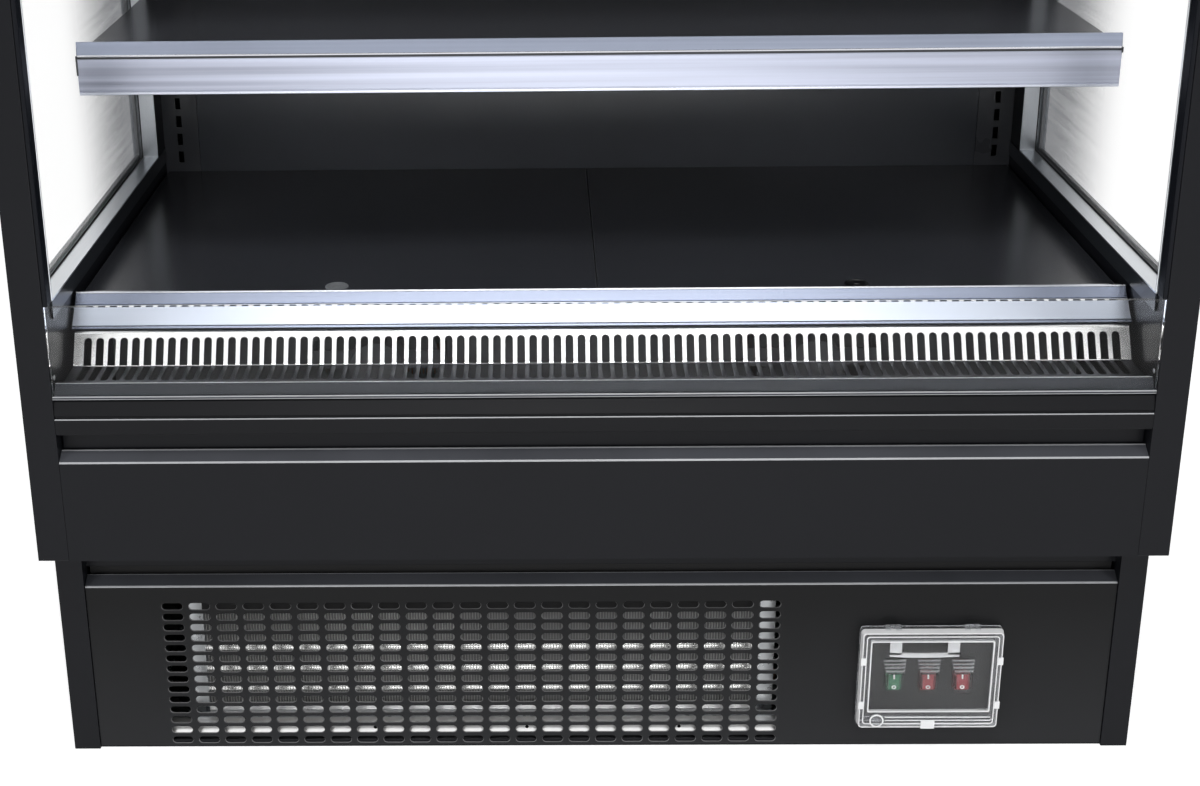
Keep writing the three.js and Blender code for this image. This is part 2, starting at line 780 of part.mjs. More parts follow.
// ---- Canopy ----
function canopyFascia() {
  const low = height - fasciaHeight;
  const half = innerHalf - sheet - seat; // clear of the window trims
  return join([
    block(across(half), [0, sheet], [low, height]),
    block(across(half), [0, fasciaDepth], [low, low + sheet]),
    block(across(half), [fasciaDepth - sheet, fasciaDepth], [low, ceilingLevel - seat]),
  ]);
}

function ceilingPanel() {
  const panel = block(across(innerHalf), [fasciaDepth - sheet, innerDepth + sheet],
    [ceilingLevel, ceilingLevel + sheet]);
  const count = Math.floor((2 * innerHalf - 2 * lampSideGap) / outletSlotPitch);
  const slots = range(count).map((index) => {
    const x = (index - (count - 1) / 2) * outletSlotPitch;
    return block([x - outletSlotWidth / 2, x + outletSlotWidth / 2],
      [outletY, outletY + outletSlotLength], [ceilingLevel - 1, ceilingLevel + sheet + 1]);
  });
  return cut(panel, slots);
}

function lamp() {
  const top = ceilingLevel - seat;
  const half = lampWidth / 2;
  const outline = [
    [lampY - half, top],
    [lampY - half, top - lampHeight / 3],
    [lampY - half * 0.7, top - lampHeight * 0.8],
    [lampY - half * 0.3, top - lampHeight],
    [lampY + half * 0.3, top - lampHeight],
    [lampY + half * 0.7, top - lampHeight * 0.8],
    [lampY + half, top - lampHeight / 3],
    [lampY + half, top],
  ];
  return prismX(outline, across(innerHalf - lampSideGap));
}

// ---- Fans: the plate lies in an XZ plane and the motor hangs on a bracket behind it ----
function fanMount(x, z, plateBack, radius, behind) {
  const ring = radius + fanTipGap + strapFoot;
  const reach = (near, far) => (behind > 0 ? [plateBack + near, plateBack + far]
    : [plateBack - far, plateBack - near]);
  const strap = [z - strapHalfHeight, z + strapHalfHeight];
  const strapNear = motorGap + strapFoot;
  const pieces = [
    barY(motorRadius * radius / condenserFanRadius, x, reach(motorGap, motorGap + motorLength), z),
    barY(fanShaftRadius, x, reach(2, motorGap + 2), z, 12),
    block([x - ring, x + ring], reach(strapNear, strapNear + strapThickness), strap),
  ];
  for (const end of [-1, 1]) {
    const foot = [x + end * ring - strapFoot / 2, x + end * ring + strapFoot / 2];
    pieces.push(block(foot, reach(-sheet / 3, strapNear + strapThickness), strap));
  }
  return pieces;
}

// A fan rotor around its own axis, which runs along Y through the origin.
function fanRotor(radius) {
  const hub = fanHubRadius * radius / condenserFanRadius;
  const pieces = [barY(hub, 0, [0, rotorWidth], 0)];
  for (const blade of range(fanBlades)) {
    const vane = new THREE.BoxGeometry(radius - hub + bladeRoot, bladeThickness, radius * 0.55);
    vane.rotateX(bladePitch);
    vane.translate((radius + hub - bladeRoot) / 2, rotorWidth / 2, 0);
    vane.rotateY(blade * 2 * Math.PI / fanBlades);
    pieces.push(solid(vane));
  }
  const swept = barY(radius, 0, [-4, rotorWidth + 4], 0, 30);
  const body = join(pieces).intersect(swept);
  return cut(body, [barY(fanShaftRadius + seat, 0, [-9, rotorWidth + 9], 0, 12)]);
}

// ---- Condensing unit ----
function condenserCoil() {
  const y = [coilY, coilY + coilDepth];
  const foot = trayFloor + seat;
  const pieces = [block([coilLeft, coilRight], y, [coilBottom, coilTop])];
  for (const [edge, inward] of [[coilLeft, 1], [coilRight, -1]]) {
    const outward = (reach) => [edge, edge - inward * reach].sort((a, b) => a - b);
    const z = [foot, coilTop + endPlateProud];
    pieces.push(block(outward(frameSheet), y, z));
    pieces.push(block(outward(endFlange), [coilY, coilY + frameSheet], z));
  }
  return join(pieces);
}

function condenserShroud() {
  const back = shroudY + shroudDepth;
  const z = [trayFloor + seat, coilTop];
  const outer = block([coilLeft, coilRight], [shroudY, back], z);
  const hollow = block([coilLeft + sheet, coilRight - sheet], [shroudY - 1, back - sheet],
    [coilBottom, z[1] - sheet]);
  const hole = barY(condenserFanRadius + fanTipGap, coilMiddle, [back - 5, back + 1],
    condenserFanZ, 32);
  return join([
    cut(outer, [hollow, hole]),
    ...fanMount(coilMiddle, condenserFanZ, back, condenserFanRadius, 1),
  ]);
}

function compressor() {
  const low = trayFloor + seat;
  const radius = compressorRadius;
  const profile = [
    [0, 0], [radius * 0.8, 0], [radius * 0.97, 12], [radius, 30],
    [radius, compressorHeight * 0.5], [radius + weldBand, compressorHeight * 0.5],
    [radius + weldBand, compressorHeight * 0.53], [radius, compressorHeight * 0.53],
    [radius * 0.97, compressorHeight * 0.8], [radius * 0.7, compressorHeight * 0.95],
    [0, compressorHeight],
  ];
  const shell = new THREE.LatheGeometry(profile.map(([r, z]) => new THREE.Vector2(r, z)), 24);
  shell.rotateX(Math.PI / 2);
  shell.translate(compressorX, compressorY, low + compressorLift);
  const plate = block([compressorX - radius - 22, compressorX + radius + 22],
    [compressorY - radius * 0.7, compressorY + radius * 0.7], [low, low + compressorPlate]);
  const pieces = [solid(shell), plate];
  for (const x of [-1, 1]) {
    for (const y of [-1, 1]) {
      pieces.push(barZ(mountRadius, compressorX + x * radius * 0.6,
        compressorY + y * radius * 0.5, [low, low + mountHeight], 12));
    }
  }
  pieces.push(dischargePipe(low + compressorLift + compressorHeight * 0.7));
  return join(pieces);
}

// The discharge pipe runs from the compressor's side to the condenser's end plate.
function dischargePipe(z) {
  const startX = compressorX - compressorRadius * 0.9;
  const turnX = coilLeft - pipeReturn;
  const endY = coilY + coilDepth / 2;
  const points = [
    [startX, compressorY], [turnX + pipeBend, compressorY], [turnX, compressorY - pipeBend],
    [turnX, endY + pipeBend], [turnX + pipeReturn / 2, endY], [coilLeft - pipeRadius, endY],
  ].map(([x, y]) => new THREE.Vector3(x, y, z));
  const path = new THREE.CurvePath();
  for (const index of range(points.length - 1)) {
    path.add(new THREE.LineCurve3(points[index], points[index + 1]));
  }
  const section = new THREE.Shape();
  section.absarc(0, 0, pipeRadius, 0, 2 * Math.PI);
  const smooth = new THREE.CatmullRomCurve3(points, false, 'chordal');
  return solid(new THREE.ExtrudeGeometry(section,
    { steps: 16, curveSegments: 4, extrudePath: smooth, bevelEnabled: false }));
}

function evaporationTray() {
  const x = [waterTrayX - waterTrayWidth / 2, waterTrayX + waterTrayWidth / 2];
  const back = baseBack - waterTrayRearGap;
  const y = [back - waterTrayDepth, back];
  const low = trayFloor + seat;
  const wall = waterTrayWall;
  return cut(block(x, y, [low, low + waterTrayHeight]),
    [block([x[0] + wall, x[1] - wall], [y[0] + wall, y[1] - wall],
      [low + wall, low + waterTrayHeight + 1])]);
}

function controlBox() {
  const low = trayFloor + seat;
  const box = block([boxLeft, boxRight], [controlBoxY, controlBoxY + controlBoxDepth],
    [low, low + controlBoxHeight]);
  const lip = controlCoverGap;
  const cover = block([boxLeft - lip, boxRight + lip],
    [controlBoxY - lip, controlBoxY - lip + controlCoverDepth],
    [low + lip, low + controlBoxHeight + lip]);
  return join([box, cover]);
}

// ---- Evaporator under the deck ----
function evaporatorCoil() {
  const low = floorTop + seat;
  const y = [evaporatorY, evaporatorY + evaporatorDepth];
  const half = evaporatorWidth / 2;
  const core = block(across(half), y,
    [low + evaporatorClearance, low + evaporatorClearance + evaporatorHeight]);
  const ends = [-1, 1].map((side) => block(onSide(side, half - 1, half + frameSheet),
    [y[0] - 4, y[1] + 4], [low, low + evaporatorClearance + evaporatorHeight + 4]));
  return join([core, ...ends]);
}

function evaporatorFanPlate() {
  const low = floorTop + seat;
  const plate = block(across(innerHalf), [fanPlateY, fanPlateY + sheet],
    [low, low + fanPlateHeight]);
  const foot = block(across(innerHalf), [fanPlateY, fanPlateY + 25], [low, low + sheet]);
  const holes = [];
  const mounts = [];
  for (const side of [-1, 1]) {
    const x = side * evaporatorFanX;
    holes.push(barY(evaporatorFanRadius + fanTipGap, x, [fanPlateY - 1, fanPlateY + sheet + 1],
      evaporatorFanZ, 32));
    mounts.push(...fanMount(x, evaporatorFanZ, fanPlateY, evaporatorFanRadius, -1));
  }
  return join([cut(plate, holes), foot, ...mounts]);
}

// ---- Materials ----
const finish = (color, roughness, metalness, opacity = 1) => new THREE.MeshStandardMaterial({
  color, roughness, metalness, opacity, transparent: opacity < 1,
});
const black = finish(0x1b1c1f, 0.45, 0.1);
const blackPlastic = finish(0x1e1f22, 0.5, 0);
const galvanised = finish(0xc9ccd0, 0.4, 0.9);
const stainless = finish(0xd6d8da, 0.3, 0.95);
const aluminium = finish(0xc4c9d2, 0.35, 0.9);
const clear = finish(0xdfe6ea, 0.05, 0, 0.3);
const glass = finish(0xe2efee, 0.03, 0, 0.25);
const rubber = finish(0x151515, 0.8, 0);
const finMetal = finish(0xb7babd, 0.45, 0.9);
const enamel = finish(0x111214, 0.35, 0.2);
const green = finish(0x1f8a4c, 0.4, 0);
const red = finish(0xb5182b, 0.4, 0);
const lampWhite = finish(0xf3f5f6, 0.3, 0);
const foamSkin = finish(0x222326, 0.55, 0.1);
const trayPlastic = finish(0x9aa0a4, 0.6, 0);

// ---- Assembly ----
const cabinet = new THREE.Group();
cabinet.position.set(0, -depth / 2, 0);

function add(name, body, material, x = 0, y = 0, z = 0) {
  const mesh = new THREE.Mesh(geometryOf(body), material.clone());
  mesh.name = name;
  mesh.position.set(x, y, z);
  cabinet.add(mesh);
  return mesh;
}

add('base_frame', baseFrame(), black);
add('base_tray', baseTray(), galvanised);
add('base_rear_panel', baseRearPanel(), black);
for (const [end, footY] of [['front', footPlaces()[0]], ['rear', footPlaces()[1]]]) {
  for (const [hand, side] of [['left', -1], ['right', 1]]) {
    add(`levelling_foot_${end}_${hand}`, levellingFoot(), rubber,
      side * (width / 2 - footInset), footY);
  }
}

add('kick_panel', kickPanel(), black);
add('switch_box_base', switchBoxBase(), clear);
add('switch_box_lid', switchBoxLid(), clear);
for (const [index, [name, colour]] of [['green', green], ['red_middle', red], ['red_right', red]]
  .entries()) {
  const mesh = add(`rocker_${name}`, rocker(), colour, rockerX(index), plateFaceY, rockerZ);
  mesh.rotation.x = THREE.MathUtils.degToRad(-rockerTilt);
  add(`rocker_cap_${name}`, rockerCap(), clear, rockerX(index), plateFaceY - seat, rockerZ);
}

add('condenser_coil', condenserCoil(), finMetal);
add('condenser_fan_shroud', condenserShroud(), enamel);
add('condenser_fan_rotor', fanRotor(condenserFanRadius), enamel,
  coilMiddle, shroudY + shroudDepth - rotorInset, condenserFanZ);
add('compressor', compressor(), enamel);
add('evaporation_tray', evaporationTray(), trayPlastic);
add('control_box', controlBox(), galvanised);

add('body_floor', bodyFloor(), foamSkin);
add('body_back', bodyBack(), foamSkin);
add('body_front_wall', bodyFrontWall(), foamSkin);
add('body_roof', bodyRoof(), foamSkin);
for (const [hand, side] of [['left', -1], ['right', 1]]) {
  add(`side_panel_${hand}`, sidePanel(side), black);
  add(`window_trim_${hand}`, windowTrim(side), aluminium);
  add(`inner_pane_${hand}`, windowPane(side, 0), glass);
  add(`outer_pane_${hand}`, windowPane(side, paneThickness + paneGap), glass);
  add(`upright_${hand}`, upright(side), black);
  add(`deck_pan_${hand}`, deckPan(side), black);
}
add('back_panel', backPanel(), black);

for (const index of range(shelfCount)) {
  add(`shelf_${index + 1}`, shelf(), black, 0, 0, shelfLevel(index));
  add(`shelf_rail_${index + 1}`, shelfRail(), aluminium, 0, 0, shelfLevel(index));
}

add('front_panel', frontPanel(), black);
add('bumper', bumper(), blackPlastic);
add('guard_rail', guardRail(), aluminium);
add('guard_glass', guardGlass(), clear);
add('return_grille', returnGrille(), stainless);
add('deck_rail', deckRail(), aluminium);

add('canopy_fascia', canopyFascia(), black);
add('ceiling_panel', ceilingPanel(), black);
add('lamp', lamp(), lampWhite);

add('evaporator_coil', evaporatorCoil(), finMetal);
add('evaporator_fan_plate', evaporatorFanPlate(), galvanised);
for (const [hand, side] of [['left', -1], ['right', 1]]) {
  add(`evaporator_fan_rotor_${hand}`, fanRotor(evaporatorFanRadius), blackPlastic,
    side * evaporatorFanX, fanPlateY - rotorWidth - evaporatorFanGap, evaporatorFanZ);
}

export default cabinet;
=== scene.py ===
# An open multideck display fridge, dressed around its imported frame.
# Metres, +Z up, the open front towards -Y, and the floor at z = 0.

import math

import bmesh
import bpy
from mathutils import Matrix, Vector


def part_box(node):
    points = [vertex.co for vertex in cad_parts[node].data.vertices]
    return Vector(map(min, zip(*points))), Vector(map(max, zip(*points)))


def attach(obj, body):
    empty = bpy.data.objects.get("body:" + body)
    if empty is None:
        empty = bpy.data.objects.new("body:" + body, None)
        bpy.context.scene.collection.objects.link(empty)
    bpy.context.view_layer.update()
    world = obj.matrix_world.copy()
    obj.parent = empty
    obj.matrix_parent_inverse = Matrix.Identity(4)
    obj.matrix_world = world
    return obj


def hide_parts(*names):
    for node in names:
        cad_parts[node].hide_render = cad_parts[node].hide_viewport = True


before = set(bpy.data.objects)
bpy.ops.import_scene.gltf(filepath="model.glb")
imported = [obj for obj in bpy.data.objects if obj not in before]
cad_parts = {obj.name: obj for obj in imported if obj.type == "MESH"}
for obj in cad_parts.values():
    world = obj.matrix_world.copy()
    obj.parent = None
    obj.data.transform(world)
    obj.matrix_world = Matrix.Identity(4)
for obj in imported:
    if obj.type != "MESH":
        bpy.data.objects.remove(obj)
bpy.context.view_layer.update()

# ---- Camera ----
# It stands just left of the middle, at chest height, and looks down at the lower half.
CAMERA_PLACE = Vector((-0.0558, -1.9568, 1.0806))
CAMERA_PITCH = math.radians(20.178)
CAMERA_YAW = math.radians(-0.972)
CAMERA_ROLL = math.radians(-0.72)
SENSOR_WIDTH, LENS = 36, 55.2994
LENS_SHIFT = (0.0727, -0.0572)
FARTHEST = 60

camera_data = bpy.data.cameras.new("camera")
camera_data.sensor_width = SENSOR_WIDTH
camera_data.lens = LENS
camera_data.shift_x, camera_data.shift_y = LENS_SHIFT
camera_data.clip_end = FARTHEST
camera = bpy.data.objects.new("camera", camera_data)
bpy.context.scene.collection.objects.link(camera)
ahead = Vector((math.sin(CAMERA_YAW) * math.cos(CAMERA_PITCH),
                math.cos(CAMERA_YAW) * math.cos(CAMERA_PITCH), -math.sin(CAMERA_PITCH)))
level_right = Vector((math.cos(CAMERA_YAW), -math.sin(CAMERA_YAW), 0))
level_up = level_right.cross(ahead)
right = level_right * math.cos(CAMERA_ROLL) + level_up * math.sin(CAMERA_ROLL)
up = level_up * math.cos(CAMERA_ROLL) - level_right * math.sin(CAMERA_ROLL)
camera.matrix_world = Matrix.Translation(CAMERA_PLACE) @ Matrix(
    (right, up, -ahead)).transposed().to_4x4()
bpy.context.scene.camera = camera
bpy.context.scene.view_settings.view_transform = "Standard"


# ---- Studio ----
# A white floor in white surroundings, a broad light overhead and a soft bank at each side. A
# faint low light in front reaches the coil behind the slots of the kick panel.
FLOOR_HALF = 14
FLOOR_WHITE = (0.9, 0.9, 0.9)
BACKGROUND_WHITE = (1, 1, 1)
FILL_LEVEL = 0.42  # what the surroundings give to matt surfaces
FLOOR_LIFT = 0.62  # makes the shown floor as white as the surroundings
UNDER_CABINET = {"X": 0.53, "Y": 0.29}  # half sizes of the floor patch that isn't lifted


def tree_of(owner):
    owner.use_nodes = True
    return owner.node_tree


def feed(tree, made, inputs):
    """Gives a node's inputs plain values or the outputs of other nodes."""
    for label, value in inputs.items():
        if isinstance(value, bpy.types.NodeSocket):
            tree.links.new(value, made.inputs[label])
        else:
            made.inputs[label].default_value = value


def node(tree, kind, inputs=None, **settings):
    """A new node with these settings and inputs."""
    made = tree.nodes.new(kind)
    for key, value in settings.items():
        setattr(made, key, value)
    feed(tree, made, inputs or {})
    return made


def maths(tree, operation, *terms):
    """The result of one operation on numbers and outputs."""
    return node(tree, "ShaderNodeMath", dict(enumerate(terms)), operation=operation).outputs[0]


def object_place(tree):
    return node(tree, "ShaderNodeTexCoord").outputs["Object"]


def seen_directly(tree):
    """One for camera, mirror and see-through rays, and nought for the light on matt surfaces."""
    ray = node(tree, "ShaderNodeLightPath").outputs
    shown = maths(tree, "MAXIMUM", ray["Is Camera Ray"], ray["Is Glossy Ray"])
    return maths(tree, "MAXIMUM", shown, ray["Is Transmission Ray"])


world = bpy.data.worlds.new("studio")
bpy.context.scene.world = world
sky = tree_of(world)
level = node(sky, "ShaderNodeMapRange",
             {"Value": seen_directly(sky), "To Min": FILL_LEVEL, "To Max": 1})
feed(sky, sky.nodes["Background"],
     {"Color": (*BACKGROUND_WHITE, 1), "Strength": level.outputs["Result"]})

floor_mesh = bpy.data.meshes.new("floor")
floor_mesh.from_pydata([(x * FLOOR_HALF, y * FLOOR_HALF, 0) for x, y in
                        ((-1, -1), (1, -1), (1, 1), (-1, 1))], [], [(0, 1, 2, 3)])
floor = bpy.data.objects.new("floor", floor_mesh)
bpy.context.scene.collection.objects.link(floor)
floor_material = bpy.data.materials.new("studio_floor")
tree = tree_of(floor_material)
from_middle = node(tree, "ShaderNodeVectorMath", {0: object_place(tree)}, operation="ABSOLUTE")
sides = node(tree, "ShaderNodeSeparateXYZ", {0: from_middle.outputs[0]}).outputs
in_the_open = maths(tree, "MAXIMUM", *(maths(tree, "GREATER_THAN", sides[axis], half)
                                       for axis, half in UNDER_CABINET.items()))
lifted = maths(tree, "MULTIPLY", seen_directly(tree), in_the_open)
feed(tree, tree.nodes["Principled BSDF"], {
    "Base Color": (*FLOOR_WHITE, 1), "Roughness": 0.9, "Specular IOR Level": 0,
    "Emission Color": (1, 1, 1, 1), "Emission Strength": maths(tree, "MULTIPLY", lifted, FLOOR_LIFT)})
floor.data.materials.append(floor_material)


def soft_light(name, place, target, size, power, fan=180):
    """A rectangular lamp turned to a target, with its size in metres and its fan in degrees."""
    data = bpy.data.lights.new(name, "AREA")
    data.shape = "RECTANGLE"
    data.size, data.size_y = size
    data.energy = power
    data.spread = math.radians(fan)
    lamp = bpy.data.objects.new(name, data)
    lamp.location = place
    lamp.rotation_euler = (Vector(target) - Vector(place)).to_track_quat("-Z", "Y").to_euler()
    bpy.context.scene.collection.objects.link(lamp)


soft_light("overhead", (0, -1.9, 3.3), (0, -0.3, 0.6), (1.5, 0.9), 40)
soft_light("low_front", (0, -2.7, 0.16), (0, -0.3, 0.12), (1.2, 0.25), 0.5, 36)
for side, name in ((-1, "left_bank"), (1, "right_bank")):
    soft_light(name, (side * 2.6, -2.4, 1.5), (0, -0.2, 0.6), (0.9, 1.8), 22)


# ---- Powder-coated steel ----
# Most of the cabinet is folded steel with a black satin powder coat: a fine orange peel, faint
# wiping marks, and a pale line painted on each folded edge as a highlight.
COAT_COLOUR = (0.0062, 0.0067, 0.0088)
COAT_ROUGHNESS = 0.36
COAT_SPECULAR = 0.14
PEEL_SIZE = 0.0011
GRAIN_RELIEF = 0.0002
SMUDGE_SIZE = 0.16
EDGE_HIGHLIGHT_COLOUR = (0.42, 0.43, 0.45)


def effect_group(name, inputs, outputs):
    """A shader group with named sockets, each given as name: default."""
    group = bpy.data.node_groups.new(name, "ShaderNodeTree")
    for label, value in inputs.items():
        kind = "NodeSocketColor" if isinstance(value, tuple) and len(value) == 4 else (
            "NodeSocketVector" if isinstance(value, tuple) else "NodeSocketFloat")
        socket = group.interface.new_socket(label, in_out="INPUT", socket_type=kind)
        socket.default_value = value
    for label, kind in outputs.items():
        group.interface.new_socket(label, in_out="OUTPUT", socket_type=kind)
    return group, group.nodes.new("NodeGroupInput"), group.nodes.new("NodeGroupOutput")


def noise(tree, place, size, detail=2.0, stretch=(1, 1, 1), roughness=0.5):
    """Noise on object coordinates whose features are about size metres across."""
    mapping = node(tree, "ShaderNodeMapping",
                   {"Vector": place, "Scale": [1 / (size * factor) for factor in stretch]})
    return node(tree, "ShaderNodeTexNoise", {
        "Vector": mapping.outputs["Vector"], "Scale": 1, "Detail": detail,
        "Roughness": roughness}).outputs["Fac"]


# Handling marks: a colour that drifts a little, and a roughness that drifts with it.
handling, h_in, h_out = effect_group(
    "handling marks",
    {"Colour": (0.5, 0.5, 0.5, 1), "Roughness": 0.4, "Drift": 0.15, "Rub": 0.08},
    {"Colour": "NodeSocketColor", "Roughness": "NodeSocketFloat"})
h_swing = maths(handling, "SUBTRACT",
                noise(handling, object_place(handling), SMUDGE_SIZE, 4, (1, 1, 1), 0.6), 0.5)
h_drift = maths(handling, "MULTIPLY", h_swing, h_in.outputs["Drift"])
h_rub = maths(handling, "MULTIPLY", h_swing, h_in.outputs["Rub"])
h_colour = node(handling, "ShaderNodeVectorMath", {
    0: h_in.outputs["Colour"], "Scale": maths(handling, "MULTIPLY_ADD", h_drift, 2, 1)},
    operation="SCALE")
feed(handling, h_out, {"Colour": h_colour.outputs[0],
                       "Roughness": maths(handling, "ADD", h_rub, h_in.outputs["Roughness"])})

# Fine grain: a small even relief for powder coat and moulded plastic.
grain, g_in, g_out = effect_group(
    "fine grain", {"Size": 0.001, "Depth": 0.5}, {"Normal": "NodeSocketVector"})
g_noise = node(grain, "ShaderNodeTexNoise", {
    "Vector": object_place(grain), "Scale": maths(grain, "DIVIDE", 1, g_in.outputs["Size"]),
    "Detail": 1})
g_bump = node(grain, "ShaderNodeBump", {
    "Height": g_noise.outputs["Fac"], "Strength": g_in.outputs["Depth"],
    "Distance": GRAIN_RELIEF})
feed(grain, g_out, {"Normal": g_bump.outputs["Normal"]})


def use_group(tree, group, **values):
    return node(tree, "ShaderNodeGroup", values, node_tree=group)


def marked_material(name, plain, colour, roughness, drift, rub, grain_size, grain_depth):
    """Handling marks and a fine grain on a shader whose even values are plain. Returns the
    material, its tree and its shader."""
    material = bpy.data.materials.new(name)
    tree = tree_of(material)
    shader = tree.nodes["Principled BSDF"]
    marks = use_group(tree, handling, Colour=(*colour, 1), Roughness=roughness, Drift=drift,
                      Rub=rub)
    relief = use_group(tree, grain, Size=grain_size, Depth=grain_depth)
    feed(tree, shader, {**plain, "Base Color": marks.outputs["Colour"],
                        "Roughness": marks.outputs["Roughness"],
                        "Normal": relief.outputs["Normal"]})
    return material, tree, shader


def finish_parts(name, colour, roughness, metallic=0.0, specular=0.5, drift=0.15, rub=0.08,
                 grain_size=PEEL_SIZE, grain_depth=0.1):
    """A solid finish as its material, tree and shader, for more to be added."""
    return marked_material(name, {"Metallic": metallic, "Specular IOR Level": specular}, colour,
                           roughness, drift, rub, grain_size, grain_depth)


def finish(name, colour, roughness, **more):
    """A solid finish that is complete as it is."""
    return finish_parts(name, colour, roughness, **more)[0]


black_coat = finish("black_coat", COAT_COLOUR, COAT_ROUGHNESS, specular=COAT_SPECULAR)
# Painted highlight: a pale grey laid on eased edges in place of the light they catch.
edge_highlight = finish("edge_highlight", EDGE_HIGHLIGHT_COLOUR, 0.3, drift=0.25)


# ---- Base frame ----
# A welded steel box on the floor, coated black, with a column at each front corner and a vented
# rear panel. Both keep the frame's shape, with their edges eased. A soft strip below its cross
# rail closes the gap over the kick panel, and a narrower dark strip is painted shade over the
# top of the coil.
FRONT_Y = -0.350  # the plane of the front panels
EASED_ANGLE = math.radians(28)  # sharper edges than this are rounded
SAME_PLANE = math.radians(0.5)
FLAT_JOINT = 0.04  # radians between two faces that still shade as one
SMALL_FACE = 5  # a face this many times larger than its neighbour keeps its flat shading
SEAL_Y = FRONT_Y + 0.0703


def link_mesh(name, mesh, *materials):
    made = bpy.data.objects.new(name, mesh)
    bpy.context.scene.collection.objects.link(made)
    for material in materials:
        made.data.materials.append(material)
    return made


def settled(piece, sharp=30):
    """The piece with its modifiers worked into a plain mesh, smooth but for its sharp edges."""
    bpy.context.view_layer.update()
    depsgraph = bpy.context.evaluated_depsgraph_get()
    mesh = bpy.data.meshes.new_from_object(piece.evaluated_get(depsgraph),
                                           preserve_all_data_layers=True, depsgraph=depsgraph)
    mesh.name = piece.name
    piece.modifiers.clear()
    piece.data = mesh
    mesh.shade_smooth()
    mesh.set_sharp_from_angle(angle=math.radians(sharp))
    shell = bmesh.new()
    shell.from_mesh(mesh)
    for edge in shell.edges:  # a flat face keeps its flat shading beside a small eased edge
        if edge.smooth and len(edge.link_faces) == 2 and edge.calc_face_angle() > FLAT_JOINT:
            small, large = sorted(face.calc_area() for face in edge.link_faces)
            first, second = (face.material_index for face in edge.link_faces)
            edge.smooth = large < SMALL_FACE * small and first == second
    shell.to_mesh(mesh)
    shell.free()
    return piece


def fitted(piece, body, node_name=None):
    """Puts the piece on the body it moves with, and hides the frame node it stands for."""
    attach(piece, body)
    if node_name:
        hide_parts(node_name)
    return piece


def eased(node_name, name, body, slot, radius, *materials, segments=2, edge_material=-1):
    """A frame node's own shape with its edges rounded as folding and coating leave them."""
    shell = bmesh.new()
    shell.from_mesh(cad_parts[node_name].data)
    bmesh.ops.remove_doubles(shell, verts=shell.verts, dist=1e-6)
    bmesh.ops.dissolve_limit(shell, angle_limit=SAME_PLANE, verts=shell.verts,
                             edges=shell.edges)
    for face in shell.faces:
        face.material_index = 0
    mesh = bpy.data.meshes.new(name)
    shell.to_mesh(mesh)
    shell.free()
    mesh.materials.clear()
    piece = link_mesh(name, mesh, *materials)
    bevel = piece.modifiers.new("edges", "BEVEL")
    bevel.width = radius
    bevel.segments = segments
    bevel.limit_method = "ANGLE"
    bevel.angle_limit = EASED_ANGLE
    bevel.material = edge_material
    settled(piece)
    low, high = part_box(node_name)
    for vertex in piece.data.vertices:  # an eased sharp corner must not overshoot the part
        vertex.co = [min(max(value, a), b) for value, a, b in zip(vertex.co, low, high)]
    return fitted(piece, body, node_name)


def extruded(outline, x_low, x_high, edges=(), radius=0.001, steps=3, shell=None):
    """A closed mesh of a [y, z] outline carried along X. Corners listed in edges are rounded and
    their faces take the second material."""
    points, marks = [], []
    for index, corner in enumerate(outline):
        here = Vector(corner)
        if index not in edges:
            points.append(here)
            marks.append(0)
            continue
        start = here + (Vector(outline[index - 1]) - here).normalized() * radius
        end = here + (Vector(outline[(index + 1) % len(outline)]) - here).normalized() * radius
        for step in range(steps + 1):
            share = step / steps
            points.append(start * (1 - share) ** 2 + here * 2 * share * (1 - share)
                          + end * share ** 2)
            marks.append(1 if step < steps else 0)
    shell = shell or bmesh.new()
    ends = [[shell.verts.new((x, y, z)) for y, z in points] for x in (x_low, x_high)]
    for index, mark in enumerate(marks):
        following = (index + 1) % len(points)
        face = shell.faces.new((ends[0][index], ends[0][following],
                                ends[1][following], ends[1][index]))
        face.material_index = mark
    for ring in ends:
        shell.faces.new(ring)
    bmesh.ops.triangulate(shell, faces=[face for face in shell.faces if len(face.verts) > 4])
    bmesh.ops.recalc_face_normals(shell, faces=shell.faces)
    return shell


def mesh_of(shell, name):
    mesh = bpy.data.meshes.new(name)
    shell.to_mesh(mesh)
    shell.free()
    return mesh


def dressed(name, shell, body, slot, *materials, node_name=None, sharp=30, soften=0):
    """A piece from its mesh: softened edges if asked for, its place in the fridge, and the frame
    node it stands for."""
    piece = link_mesh(name, mesh_of(shell, name), *materials)
    if soften:
        bevel = piece.modifiers.new("soften", "BEVEL")
        bevel.width, bevel.segments, bevel.angle_limit = soften, 2, math.radians(30)
    return fitted(settled(piece, sharp), body, node_name)


eased("base_frame", "base_frame_coated", "cabinet", "black_steel", 0.0006, black_coat)
eased("base_rear_panel", "rear_panel_vented", "cabinet", "black_steel", 0.0003, black_coat)
seal_rubber = finish("seal_rubber", (0.004, 0.004, 0.0045), 0.7, specular=0.3, grain_size=0.002,
                     grain_depth=0.2)
seal_shell = bmesh.new()
for x_low, x_high, y_low, y_high, z_low, z_high in (
        (-0.5195, 0.5195, SEAL_Y, SEAL_Y + 0.003, 0.184, 0.2075),
        # The second, narrower strip is a dark sheet standing in for the shade over the coil's top
        # fins.
        (-0.409, 0.1665, SEAL_Y + 0.0032, SEAL_Y + 0.006, 0.151, 0.200)):
    extruded([(y_low, z_low), (y_low, z_high), (y_high, z_high), (y_high, z_low)], x_low, x_high,
             edges=(0, 3), radius=0.0008, shell=seal_shell)
dressed("cross_rail_seal_and_shade_strip", seal_shell, "cabinet", "foot_rubber", seal_rubber, seal_rubber)


